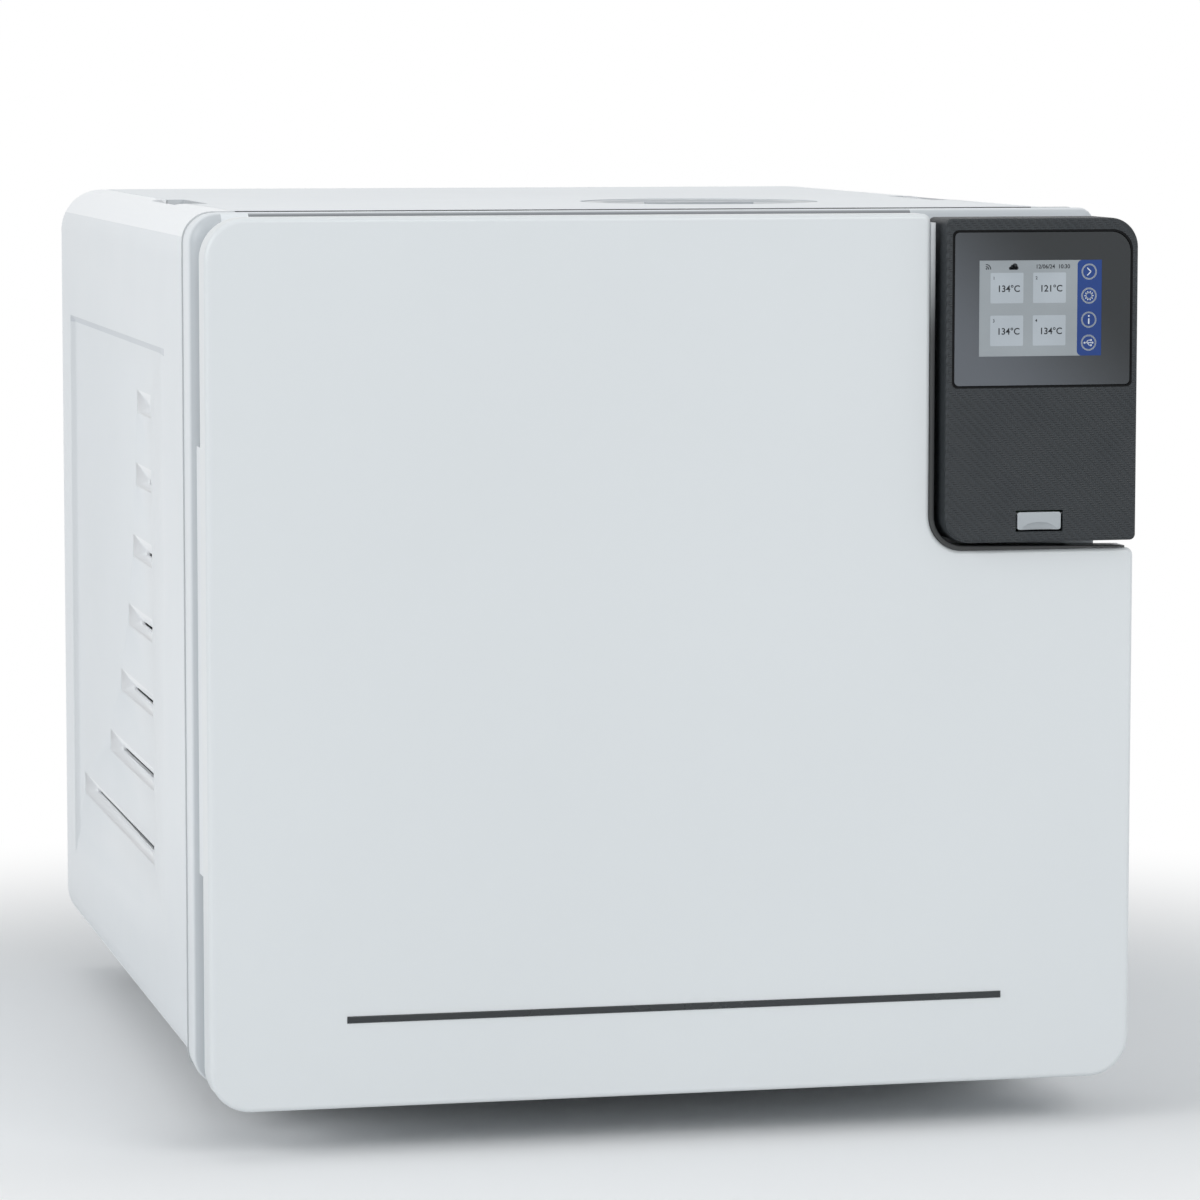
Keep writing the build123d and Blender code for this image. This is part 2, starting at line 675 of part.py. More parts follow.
def glass_outline(grow):
    x0 = PANEL_X0 + GLASS_SIDE_IN - grow
    x1 = PANEL_X1 - GLASS_SIDE_IN + grow
    z0 = GLASS_Z0 - grow
    z1 = GLASS_Z1 + grow
    return outline([(x0, z0), (x1, z0), (x1, z1), (x0, z1)], [3, 3, 11, 3])


def screen_box(grow, y0, y1):
    w = SCREEN_W / 2 + grow
    h = SCREEN_H / 2 + grow
    return block(SCREEN_X - w, SCREEN_X + w, y0, y1, SCREEN_Z - h, SCREEN_Z + h)


def flap_axis():
    return Y_PANEL + FLAP_T / 2, FLAP_Z + FLAP_H / 2 - FLAP_T / 2


def panel_cover():
    front = Y_PANEL
    cover = slab(panel_outline(0), front, front + PANEL_DEPTH)
    cover = fillet(front_rim(cover), 1.5)
    cover -= slab(panel_outline(WALL), front + WALL, front + PANEL_DEPTH + 1)
    cover -= slab(glass_outline(0.3), front - 1, front + GLASS_T)
    cover -= screen_box(SCREEN_FRAME + 0.3, front, front + WALL + 1)
    w = FLAP_W / 2 + CLEAR
    h = FLAP_H / 2 + CLEAR
    cover -= block(FLAP_X - w, FLAP_X + w, front - 1, front + WALL + 1, FLAP_Z - h, FLAP_Z + h)
    y, z = flap_axis()
    return cover - rod_x(TRUNNION_R + RUN, FLAP_X - w - 2.2, FLAP_X + w + 2.2, y, z)


def control_housing():
    y0 = Y_PANEL + PANEL_DEPTH
    housing = slab(panel_outline(0), y0, Y_FACE)
    housing -= slab(panel_outline(WALL), y0 - 1, Y_FACE - WALL)
    for x in (PANEL_X0 + 14, PANEL_X1 - 14):
        for z in (PANEL_Z0 + 16, PANEL_Z1 - 18):
            housing += rod_y(3.5, Y_BOARD + BOARD_T, Y_FACE - WALL, x, z)
    return housing


def display_glass():
    front = Y_PANEL
    return slab(glass_outline(0), front, front + GLASS_T)


def display_module():
    return screen_box(SCREEN_FRAME, Y_PANEL + GLASS_T, Y_BOARD)


def control_board():
    board = block(PANEL_X0 + 8, PANEL_X1 - 6, Y_BOARD, Y_BOARD + BOARD_T, PANEL_Z0 + 6, PANEL_Z1 - 8)
    y0 = Y_BOARD + BOARD_T
    z = PANEL_Z0 + 66
    for i, (w, h) in enumerate(((14, 14), (8, 18), (20, 6))):
        x = PANEL_X0 + 30 + i * 22
        board += block(x - w / 2, x + w / 2, y0, y0 + 3, z - h / 2, z + h / 2)
    return board


def usb_flap():
    front = Y_PANEL
    y, z = flap_axis()
    z0 = FLAP_Z - FLAP_H / 2
    half = FLAP_W / 2
    flap = block(FLAP_X - half, FLAP_X + half, front, front + FLAP_T, z0, z)
    flap = fillet(flap.edges().filter_by(Axis.Y).filter_by(lambda e: e.center().Z < z - 1), 1)
    flap += rod_x(FLAP_T / 2, FLAP_X - half, FLAP_X + half, y, z)
    reach = half + CLEAR + 1.8
    flap += rod_x(TRUNNION_R, FLAP_X - reach, FLAP_X + reach, y, z)
    scoop = Pos(FLAP_X, front - 9, z0 - 2) * Cylinder(10.5, 8)
    return flap - scoop


def usb_socket():
    x = FLAP_X
    y0 = Y_PANEL + FLAP_T + CLEAR
    z = FLAP_Z
    socket = block(x - 7, x + 7, y0, Y_BOARD, z - 3, z + 3)
    socket -= block(x - 6, x + 6, y0 - 1, Y_BOARD - 2, z - 2.2, z + 2.2)
    return socket + block(x - 5.5, x + 5.5, y0 + 1, Y_BOARD - 1, z, z + 1.4)


# Pressure vessel and tray rack

def chamber():
    r1 = CHAMBER_R + CHAMBER_WALL
    l1 = CHAMBER_L + CHAMBER_WALL
    points = [(CHAMBER_R, 0), (FLANGE_R, 0), (FLANGE_R, FLANGE_T), (r1, FLANGE_T), (r1, l1), (0, l1),
              (0, CHAMBER_L), (CHAMBER_R, CHAMBER_L)]
    radii = [1.5, 1.5, 1, 0, DOME_R + CHAMBER_WALL, 0, 0, DOME_R]
    shell = turned_y(points, radii, CHAMBER_X, Y_FLANGE, Z_CHAMBER)
    y = Y_FLANGE + l1
    for dx, dz in ((0, PORT_OFF), (0, -PORT_OFF), (PORT_OFF, 0)):
        shell += rod_y(2 * PIPE_R, y - 0.5, y + PORT_L, CHAMBER_X + dx, Z_CHAMBER + dz)
        shell -= rod_y(PIPE_R, y - CHAMBER_WALL - 1, y + PORT_L + 1, CHAMBER_X + dx, Z_CHAMBER + dz)
    return shell


def chamber_heater():
    r = CHAMBER_R + CHAMBER_WALL + 0.2
    return ring_y(r + 2.5, r, Y_FLANGE + 80, Y_FLANGE + CHAMBER_L - 70, CHAMBER_X, Z_CHAMBER)


def chamber_lagging():
    r = CHAMBER_R + CHAMBER_WALL + 3
    return ring_y(LAGGING_R, r, Y_BULK + SHEET, Y_FLANGE + CHAMBER_L - DOME_R - 4, CHAMBER_X, Z_CHAMBER)


def chamber_cradles():
    made = []
    half = LAGGING_R * 0.77
    x0 = CHAMBER_X - half
    x1 = CHAMBER_X + half
    for y in (Y_FLANGE + CHAMBER_L * 0.2, Y_FLANGE + CHAMBER_L * 0.77):
        plate = block(x0, x1, y, y + SHEET, Z_FLOOR, Z_CHAMBER - LAGGING_R * 0.63)
        plate += block(x0, x1, y, y + 16, Z_FLOOR, Z_FLOOR + SHEET)
        made.append(plate - rod_y(LAGGING_R + 0.3, y - 1, y + 20, CHAMBER_X, Z_CHAMBER))
    return made


def tray_z(level):
    return TRAY_Z0 + level * TRAY_PITCH


def tray_rack():
    """Two side plates with three rails each, joined by cross bars that are welded between them."""
    y1 = Y_RACK + RACK_L
    low = Z_CHAMBER - RACK_DROP
    high = Z_CHAMBER + RACK_DROP - RACK_TOP_IN
    window = RACK_L / 5
    made = []
    for side in (-1, 1):
        inner = CHAMBER_X + side * RACK_HALF
        x0, x1 = sorted((inner, inner + side * RACK_SHEET))
        rail0, rail1 = sorted((inner, inner - side * RAIL_W))
        plate = block(x0, x1, Y_RACK, y1, low, high)
        for level in range(3):
            z = tray_z(level)
            for k in range(3):
                y = Y_RACK + window * (0.6 + 1.4 * k)
                plate -= block(x0 - 1, x1 + 1, y, y + window, z + 8, z + TRAY_PITCH * 0.7)
            made.append(block(rail0, rail1, Y_RACK, y1, z - RACK_SHEET, z))
        made.append(plate)
    for y in (Y_RACK + 8, y1 - 8):
        for z in (low + 2 * ROD_R, high - 2 * ROD_R):
            made.append(rod_x(ROD_R, CHAMBER_X - RACK_HALF, CHAMBER_X + RACK_HALF, y, z))
    return made


def tray(level):
    """Perforated floor with a flange on each side; level counts from the bottom."""
    half = RACK_HALF - 1
    y0 = Y_RACK + TRAY_SHORT / 2
    z0 = tray_z(level)
    z1 = z0 + TRAY_SHEET
    sides = (CHAMBER_X - half, CHAMBER_X + half, y0, y0 + TRAY_L)
    pitch_x = half / 3
    pitch_y = TRAY_L / 6.65
    floor = block(*sides, z0, z1)
    for i in range(-2, 3):
        for j in range(6):
            x = CHAMBER_X + i * pitch_x
            y = y0 + pitch_y * (0.475 + j)
            floor -= block(x - 9, x + 9, y, y + pitch_y * 0.7, z0 - 1, z1 + 1)
    return [floor] + flanges(*sides, z1, z0 + TRAY_H, TRAY_SHEET)


# Deck, tanks and air filter

def deck():
    return block(5 - SEAM_X, SEAM_X - 5, Y_BULK + SHEET, Y_BACK, Z_DECK, Z_DECK + SHEET)


def clean_tank():
    y1 = Y_TANK + TANK_L
    z1 = Z_TANK + TANK_H
    tank = block(TANK_X0, TANK_X1, Y_TANK, y1, Z_TANK, z1)
    tank = fillet(tank.edges().filter_by(Axis.Z), TANK_R)
    tank -= block(TANK_X0 + WALL, TANK_X1 - WALL, Y_TANK + WALL, y1 - WALL, Z_TANK + WALL, z1 - WALL)
    return tank - rod_z(NECK_R, z1 - 2 * WALL, z1 + 1, LID_X, LID_Y)


def used_tank():
    y0 = Y_USED
    y1 = y0 + USED_L
    z0 = Z_FLOOR
    tank = block(USED_X0, USED_X1, y0, y1, z0, z0 + USED_H)
    tank = fillet(tank.edges().filter_by(Axis.Z), TANK_R)
    return tank - block(USED_X0 + WALL, USED_X1 - WALL, y0 + WALL, y1 - WALL, z0 + WALL, z0 + USED_H - WALL)


def air_filter():
    r = FILTER_R
    points = [(0, 0), (r - 2, 0), (r, 6), (r, 46), (r - 2, 52), (7, 52), (7, 60), (0, 60)]
    return turned_z(points, [0, 1, 2, 2, 1, 1, 1, 0], FILTER_X, Y_BULK + SHEET + FILTER_BACK, Z_TANK)


def power_board():
    x0 = CHAMBER_X - BOARD_W * 0.4
    y0 = Y_REAR - BOARD_FROM_REAR
    z = Z_TANK
    z1 = z + 8 + BOARD_T
    board = block(x0, x0 + BOARD_W, y0, y0 + BOARD_L, z + 8, z1)
    for x in (x0 + 10, x0 + BOARD_W - 10):
        for y in (y0 + 10, y0 + BOARD_L - 10):
            board += rod_z(4, z, z + 8, x, y)
    board += block(x0 + 30, x0 + 80, y0 + 20, y0 + 60, z1, z + 44)
    board += block(x0 + 110, x0 + 210, y0 + 90, y0 + 120, z1, z + 34)
    for i in range(5):
        board += rod_z(9, z1, z + 36, x0 + 120 + i * 24, y0 + 40)
    return board


# Steam and vacuum

def generator_place():
    return (USED_X0 + USED_X1) / 2, Y_GENERATOR


def steam_generator():
    x, y = generator_place()
    r = GENERATOR_R
    r1 = r + 6
    h = GENERATOR_H
    points = [(0, 12), (r1, 12), (r1, 20), (r, 20), (r, h + 4), (r1, h + 4), (r1, h + 12), (0, h + 12)]
    body = turned_z(points, [0, 1, 1, 1, 1, 1, 1, 0], x, y, Z_FLOOR)
    for k in range(3):
        a = math.radians(90 + k * 120)
        body += rod_z(4, Z_FLOOR, Z_FLOOR + 13, x + (r - 2) * math.cos(a), y + (r - 2) * math.sin(a))
    return body + rod_z(PIPE_R + 2, Z_FLOOR + h + 12, Z_FLOOR + h + 26, x, y)


def pump_place():
    return PUMP_IN - HALF_W, Y_REAR - PUMP_FROM_REAR


def vacuum_pump():
    """Motor between two diaphragm heads, on a foot."""
    x, y = pump_place()
    z0 = Z_FLOOR + 8
    body = block(x - 50, x + 50, y - 30, y + 30, z0, z0 + 16)
    body += rod_x(36, x - 37, x + 37, y, z0 + 50)
    for side in (-1, 1):
        x0, x1 = sorted((x + side * 37, x + side * 61))
        body += block(x0, x1, y - 34, y + 34, z0 + 10, z0 + 100)
        body += rod_z(6, z0 + 100, z0 + 112, x + side * 49, y)
    return body


def pump_mounts():
    x, y = pump_place()
    return [rod_z(7, Z_FLOOR, Z_FLOOR + 8, x + dx, y + dy) for dx in (-40, 40) for dy in (-20, 20)]


def water_pump():
    x = CHAMBER_X + 75
    y = Y_REAR - WATER_PUMP_FROM_REAR
    z0 = Z_FLOOR
    body = block(x - 25, x + 25, y - 30, y + 20, z0, z0 + 6)
    body += block(x - 19, x + 19, y - 25, y + 5, z0 + 6, z0 + 44)
    return body + rod_y(12, y + 5, y + 40, x, z0 + 25)


def manifold_place():
    """Left end, front face of the bracket, and underside of the manifold."""
    return CHAMBER_X + 66, Y_REAR - MANIFOLD_FROM_REAR, Z_FLOOR + 96


def manifold_bracket():
    x, y, z = manifold_place()
    bracket = block(x - 6, x + MANIFOLD_W + 6, y, y + SHEET, Z_FLOOR, z + 34)
    return bracket + block(x - 6, x + MANIFOLD_W + 6, y - 20, y, Z_FLOOR, Z_FLOOR + SHEET)


def valve_manifold():
    x, y, z = manifold_place()
    body = block(x, x + MANIFOLD_W, y - 28, y, z, z + 26)
    return body + rod_x(PIPE_R + 2, x - 8, x, y - 14, z + 13)


def solenoid_valves():
    x0, y, z = manifold_place()
    y -= 14
    z += 26
    pitch = (MANIFOLD_W - 24) / 4
    made = []
    for i in range(5):
        x = x0 + 12 + i * pitch
        coil = block(x - 9, x + 9, y - 11, y + 11, z + 8, z + 36)
        coil = fillet(coil.edges().filter_by(Axis.Z), 2)
        made.append(coil + rod_z(6, z, z + 8, x, y) + rod_z(4, z + 36, z + 42, x, y))
    return made


def pipe(points, radius, bend):
    """Round pipe along straight runs with equal bends."""
    path = FilletPolyline(*points, radius=bend)
    start = Plane(origin=path @ 0, z_dir=path % 0)
    return sweep(start * Circle(radius), path=path)


def pipes():
    """Steam line from the generator, and the line from the vessel's low port to the manifold."""
    gx, gy = generator_place()
    port_y = Y_FLANGE + CHAMBER_L + CHAMBER_WALL + PORT_L
    port_x = CHAMBER_X + PORT_OFF
    top = (gx, gy, Z_FLOOR + GENERATOR_H + 26)
    bend = 3 * PIPE_R
    steam = pipe([top, (gx, gy, Z_CHAMBER), (gx, port_y + 30, Z_CHAMBER), (port_x, port_y + 30, Z_CHAMBER),
                  (port_x, port_y, Z_CHAMBER)], PIPE_R, bend)
    mx, my, mz = manifold_place()
    low = Z_CHAMBER - PORT_OFF
    drain = pipe([(CHAMBER_X, port_y, low), (CHAMBER_X, my - 14, low), (CHAMBER_X, my - 14, mz + 13),
                  (mx - 8, my - 14, mz + 13)], PIPE_R, bend)
    return [steam, drain]


def condenser():
    """Finned block on the inlet side of the fan."""
    y1 = fan_y()
    y0 = y1 - CONDENSER_T
    half = FAN_SIZE / 2
    core = block(FAN_X - half, FAN_X + half, y0, y1, FAN_Z - half, FAN_Z + half)
    pitch = FAN_SIZE / 12
    for i in range(-5, 6):
        z = FAN_Z + i * pitch
        core -= block(FAN_X - half + 6, FAN_X + half - 6, y0 - 1, y1 + 1, z - pitch * 0.3, z + pitch * 0.3)
    return core


def fan_y():
    return Y_BACK - FAN_T


def fan_frame():
    y0 = fan_y()
    half = FAN_SIZE / 2
    z = FAN_Z
    frame = block(FAN_X - half, FAN_X + half, y0, Y_BACK, z - half, z + half)
    frame = fillet(frame.edges().filter_by(Axis.Y), 6)
    frame -= rod_y(FAN_BORE, y0 - 1, Y_BACK + 1, FAN_X, z)
    for turn in (45, 135):
        bar = Box(2 * FAN_BORE + 2, SHEET, 5)
        frame += Pos(FAN_X, Y_BACK - SHEET / 2, z) * Rot(0, turn, 0) * bar
    frame += rod_y(16, Y_BACK - 5, Y_BACK, FAN_X, z)
    return frame + rod_y(2, y0 + 3, Y_BACK, FAN_X, z)


def fan_rotor():
    y0 = fan_y() + 2
    y1 = Y_BACK - 5 - CLEAR
    z = FAN_Z
    rotor = rod_y(FAN_BORE / 3, y0, y1, FAN_X, z)
    for k in range(7):
        blade = Pos(FAN_BORE * 0.6, 0, 0) * Rot(38, 0, 0) * Box(FAN_BORE * 0.63, 16, 1.6)
        rotor += Pos(FAN_X, (y0 + y1) / 2, z) * Rot(0, k * 360 / 7, 0) * blade
    return rotor - rod_y(2 + RUN, y0 - 1, y1 + 1, FAN_X, z)


# Rear fittings

def inlet_body():
    z = INLET_Z
    return block(INLET_X - 14, INLET_X + 14, Y_BACK - 22, Y_BACK + SHEET, z - 11, z + 11)


def power_inlet():
    z = INLET_Z
    y1 = Y_BACK + SHEET
    inlet = inlet_body()
    flange = block(INLET_X - 25, INLET_X + 25, y1, y1 + 2.5, z - 14, z + 14)
    inlet += fillet(flange.edges().filter_by(Axis.Y), 4)
    inlet -= block(INLET_X - 12, INLET_X + 12, y1 - 14, y1 + 3, z - 9, z + 9)
    for dx, dz in ((-7, 3), (7, 3), (0, -3)):
        inlet += block(INLET_X + dx - 1, INLET_X + dx + 1, y1 - 15, y1 - 2, z + dz - 2, z + dz + 2)
    return inlet


def switch_body():
    z = SWITCH_Z
    w = SWITCH_W / 2 + 3
    h = SWITCH_H / 2 + 3
    return block(INLET_X - w, INLET_X + w, Y_BACK - 20, Y_BACK + SHEET, z - h, z + h)


def switch_y():
    """Rocker's pivot line."""
    return Y_BACK - 2


def mains_switch_frame():
    z = SWITCH_Z
    y1 = Y_BACK + SHEET
    w = SWITCH_W / 2 + 6
    h = SWITCH_H / 2 + 6
    frame = switch_body()
    flange = block(INLET_X - w, INLET_X + w, y1, y1 + 2, z - h, z + h)
    frame += fillet(flange.edges().filter_by(Axis.Y), 2)
    w = SWITCH_W / 2 + CLEAR
    h = SWITCH_H / 2 + CLEAR
    frame -= block(INLET_X - w, INLET_X + w, Y_BACK - 17, y1 + 3, z - h, z + h)
    return frame - rod_x(1.5 + RUN, INLET_X - w - 2, INLET_X + w + 2, switch_y(), z)


def mains_rocker():
    """Rocker tipped to its off side at rest."""
    z = SWITCH_Z
    half = SWITCH_H / 2 - 1.5
    points = [(-half, 5), (0, 3), (half, 5), (half - 2, -2), (5, -7), (-5, -7), (2 - half, -2)]
    face = make_face(Polyline(*points, close=True))
    rocker = extrude(Plane.YZ * Rot(0, 0, 90) * face, SWITCH_W / 2, both=True)
    rocker += rod_x(1.5, -SWITCH_W / 2 - CLEAR - 1.8, SWITCH_W / 2 + CLEAR + 1.8, 0, 0)
    return Pos(INLET_X, switch_y(), z) * Rot(SWITCH_TILT, 0, 0) * rocker


def fitting_reach():
    """Distance from the rear wall's inner face to the rearmost fitting."""
    return Y_REAR + FITTING_PROUD - Y_BACK


def safety_valve():
    x, z, r = rear_ports()[0]
    reach = fitting_reach()
    points = [(0, -20), (9, -20), (9, 0), (r, 0), (r, SHEET), (13, SHEET), (13, SHEET + 6), (9, SHEET + 6),
              (9, SHEET + 9), (12, SHEET + 9), (12, reach), (0, reach)]
    return turned_y(points, [0, 1, 0, 0, 0, 1, 1, 0, 0, 1, 1.5, 0], x, Y_BACK, z)


def drain_couplings():
    reach = fitting_reach()
    made = []
    for x, z, r in rear_ports()[1:]:
        points = [(0, -14), (6, -14), (6, 0), (r, 0), (r, SHEET), (11, SHEET), (11, SHEET + 6),
                  (BARB_R, SHEET + 6), (BARB_R, reach), (BARB_R - 2, reach), (BARB_R - 2, 4), (0, 4)]
        made.append(turned_y(points, [0, 1, 0, 0, 0, 1, 1, 0, 0.5, 0.5, 0, 0], x, Y_BACK, z))
    return made


def rear_screws():
    half = SEAM_X - SCREW_IN
    places = [(x, z) for x in (-half, 0, half) for z in (Z_SHELL + SCREW_IN, Z_TOP - SCREW_IN)]
    places += [(side * (HALF_W - SCREW_IN), Z_CHAMBER) for side in (-1, 1)]
    y = Y_BACK + SHEET
    made = []
    for x, z in places:
        head = turned_y([(0, 0), (3.5, 0), (3.5, 1.2), (2, 2.2), (0, 2.2)], [0, 0, 0.6, 0.4, 0], x, y, z)
        made.append(head)
    return made


RIGHT_SIDE = side_panel()

NODES = {
    "door_cover": door_cover(),
    "trim_bar": trim_bar(),
    "door_plate": door_plate(),
    "door_liner": door_liner(),
    "pressure_disc": pressure_disc(),
    "door_gasket": door_gasket(),
    "door_striker": door_striker(),
    "front_frame": front_frame(),
    "hinge_post": hinge_post(),
    "hinge_pins": hinge_pins(),
    "bulkhead": bulkhead(),
    "lock_housing": lock_housing(),
    "lock_bolt": lock_bolt(),
    "right_side_panel": RIGHT_SIDE,
    "left_side_panel": mirror(RIGHT_SIDE, about=Plane.YZ),
    "right_grip_pocket": grip_pocket(1),
    "left_grip_pocket": grip_pocket(-1),
    "top_cover": top_cover(),
    "fill_neck": fill_neck(),
    "fill_lid": fill_lid(),
    "rear_panel": rear_panel(),
    "base_plate": base_plate(),
    "feet": feet(),
    "panel_cover": panel_cover(),
    "control_housing": control_housing(),
    "display_glass": display_glass(),
    "display_module": display_module(),
    "control_board": control_board(),
    "usb_flap": usb_flap(),
    "usb_socket": usb_socket(),
    "chamber": chamber(),
    "chamber_heater": chamber_heater(),
    "chamber_lagging": chamber_lagging(),
    "chamber_cradles": chamber_cradles(),
    "tray_rack": tray_rack(),
    "tray_low": tray(0),
    "tray_middle": tray(1),
    "tray_high": tray(2),
    "deck": deck(),
    "clean_water_tank": clean_tank(),
    "used_water_tank": used_tank(),
    "air_filter": air_filter(),
    "power_board": power_board(),
    "steam_generator": steam_generator(),
    "vacuum_pump": vacuum_pump(),
    "pump_mounts": pump_mounts(),
    "water_pump": water_pump(),
    "manifold_bracket": manifold_bracket(),
    "valve_manifold": valve_manifold(),
    "solenoid_valves": solenoid_valves(),
    "pipes": pipes(),
    "condenser": condenser(),
    "fan_frame": fan_frame(),
    "fan_rotor": fan_rotor(),
    "power_inlet": power_inlet(),
    "mains_switch_frame": mains_switch_frame(),
    "mains_rocker": mains_rocker(),
    "safety_valve": safety_valve(),
    "drain_couplings": drain_couplings(),
    "rear_screws": rear_screws(),
}

os.makedirs("parts", exist_ok=True)
for name, shape in NODES.items():
    solids = []
    for piece in shape if isinstance(shape, list) else [shape]:
        solids += piece.solids()
    whole = solids[0] if len(solids) == 1 else Compound(children=solids)
    whole.label = name
    export_step(whole, f"parts/{name}.step")
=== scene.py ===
import math
import bmesh
import bpy
from mathutils import Matrix, Vector


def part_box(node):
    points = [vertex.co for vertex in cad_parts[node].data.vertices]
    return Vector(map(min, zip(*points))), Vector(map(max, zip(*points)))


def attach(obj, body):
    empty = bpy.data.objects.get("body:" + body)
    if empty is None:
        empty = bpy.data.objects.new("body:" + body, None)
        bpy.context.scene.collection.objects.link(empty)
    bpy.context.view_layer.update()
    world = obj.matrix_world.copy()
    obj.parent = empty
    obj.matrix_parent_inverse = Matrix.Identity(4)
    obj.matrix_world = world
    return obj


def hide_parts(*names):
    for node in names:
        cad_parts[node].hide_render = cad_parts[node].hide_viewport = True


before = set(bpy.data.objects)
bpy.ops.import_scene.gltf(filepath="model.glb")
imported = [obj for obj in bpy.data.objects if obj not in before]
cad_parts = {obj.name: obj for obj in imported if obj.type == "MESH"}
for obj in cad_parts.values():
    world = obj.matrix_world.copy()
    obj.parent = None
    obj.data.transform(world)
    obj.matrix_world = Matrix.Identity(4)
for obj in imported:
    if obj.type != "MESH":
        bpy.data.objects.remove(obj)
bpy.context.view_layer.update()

MM = 0.001

# Camera of the reference view: metres, degrees, and millimetres of lens
CAMERA_PLACE = (-0.61906, -2.84944, 0.54246)
CAMERA_YAW = 12.787
CAMERA_PITCH = 5.768
CAMERA_ROLL = 0.024
CAMERA_LENS = 156.92
SENSOR = 36.0


# Places that more than one finish or piece uses

# GROOVE_FADE to SCOOP_X place the painted shade on the front frame; CREASE_X to CREASE_Z place the painted shade along
# the top of the side recess, and CREASE_X also the painted light in the louvre pockets
GROOVE_FADE = (-238.2 * MM, -236.2 * MM)
NECK_TOP = 457.2 * MM
BLOCK_X = (-222.0 * MM, -208.0 * MM)
SCOOP_X = (-208.0 * MM, 138.0 * MM)
CREASE_X = (235.9 * MM, 238.42 * MM)
CREASE_Y = (-149.0 * MM, 248.0 * MM)
CREASE_Z = (395.0 * MM, 399.6 * MM)

# Dark strip on the door's cut for the panel: painted shade in the gap round the panel, with painted light near its
# upper end and on its ledge near its right end
CUT_X = 130.8 * MM
CUT_Z = 299.6 * MM
CUT_R = 18.0 * MM
SHADE_STRIP_W = 2.8 * MM
SHADE_STRIP_W_END = 1.1 * MM
SHADE_STRIP_FRONT = 1.0 * MM
SHADE_STRIP_LEDGE = 0.8 * MM
SHADE_STRIP_DEPTH = 14.0 * MM
SHADE_STRIP_SHORT = 4.5 * MM
SHADE_STRIP_LIT_Z = (405.0 * MM, 462.0 * MM)
SHADE_STRIP_LIT_X = (205.0 * MM, 209.0 * MM)

# Seams round the front frame and beside the top cover, with strips of painted shade in them
SEAM = 0.9 * MM
SEAM_STEP = 0.7 * MM
SEAM_SHADE_W = 2.6 * MM
SEAM_PLAY = 0.06 * MM
SEAM_X = 211.0 * MM
SIDE_X = 211.5 * MM
LIP_RADII = (15.5 * MM, 15.5 * MM, 8.0 * MM, 15.5 * MM)


# Camera, light and floor

def make_camera():
    bpy.context.scene.view_settings.view_transform = "Standard"
    data = bpy.data.cameras.new("camera")
    data.lens = CAMERA_LENS
    data.sensor_width = SENSOR
    data.clip_end = 50
    camera = bpy.data.objects.new("camera", data)
    bpy.context.scene.collection.objects.link(camera)
    turn = Matrix.Rotation(math.radians(-CAMERA_YAW), 4, "Z")
    tilt = Matrix.Rotation(math.radians(90 - CAMERA_PITCH), 4, "X")
    roll = Matrix.Rotation(math.radians(CAMERA_ROLL), 4, "Z")
    camera.matrix_world = Matrix.Translation(CAMERA_PLACE) @ turn @ tilt @ roll
    bpy.context.scene.camera = camera


def soft_lamp(name, place, aim, size, power, colour=(1, 1, 1)):
    data = bpy.data.lights.new(name, "AREA")
    data.shape = "RECTANGLE"
    data.size = size[0]
    data.size_y = size[1]
    data.energy = power
    data.color = colour
    lamp = bpy.data.objects.new(name, data)
    bpy.context.scene.collection.objects.link(lamp)
    toward = Vector(aim) - Vector(place)
    lamp.matrix_world = Matrix.Translation(place) @ toward.to_track_quat("-Z", "Y").to_matrix().to_4x4()


def seen_directly(tree):
    """1 for rays that come from the camera, a mirror or clear glass, else 0."""
    path = tree.nodes.new("ShaderNodeLightPath")
    first = tree.nodes.new("ShaderNodeMath")
    first.operation = "MAXIMUM"
    second = tree.nodes.new("ShaderNodeMath")
    second.operation = "MAXIMUM"
    tree.links.new(path.outputs["Is Camera Ray"], first.inputs[0])
    tree.links.new(path.outputs["Is Glossy Ray"], first.inputs[1])
    tree.links.new(first.outputs[0], second.inputs[0])
    tree.links.new(path.outputs["Is Transmission Ray"], second.inputs[1])
    return second.outputs[0]


def make_studio():
    """White surroundings, a pale light from all round, and three soft lamps."""
    world = bpy.data.worlds.new("studio")
    bpy.context.scene.world = world
    world.use_nodes = True
    tree = world.node_tree
    tree.nodes.clear()
    ambient = tree.nodes.new("ShaderNodeBackground")
    ambient.inputs["Color"].default_value = (0.93, 0.97, 1.0, 1)
    ambient.inputs["Strength"].default_value = 0.44
    white = tree.nodes.new("ShaderNodeBackground")
    white.inputs["Color"].default_value = (1, 1, 1, 1)
    white.inputs["Strength"].default_value = 1.0
    mix = tree.nodes.new("ShaderNodeMixShader")
    out = tree.nodes.new("ShaderNodeOutputWorld")
    tree.links.new(seen_directly(tree), mix.inputs["Fac"])
    tree.links.new(ambient.outputs[0], mix.inputs[1])
    tree.links.new(white.outputs[0], mix.inputs[2])
    tree.links.new(mix.outputs[0], out.inputs["Surface"])
    soft_lamp("lamp_left", (-3.2, -1.6, 1.9), (0, 0, 0.25), (2.4, 2.0), 45)
    soft_lamp("lamp_front", (1.3, -3.4, 2.2), (0, -0.3, 0.25), (2.6, 1.6), 42)
    soft_lamp("lamp_top", (-0.2, 0.2, 3.2), (0, 0, 0.4), (2.6, 2.6), 14)


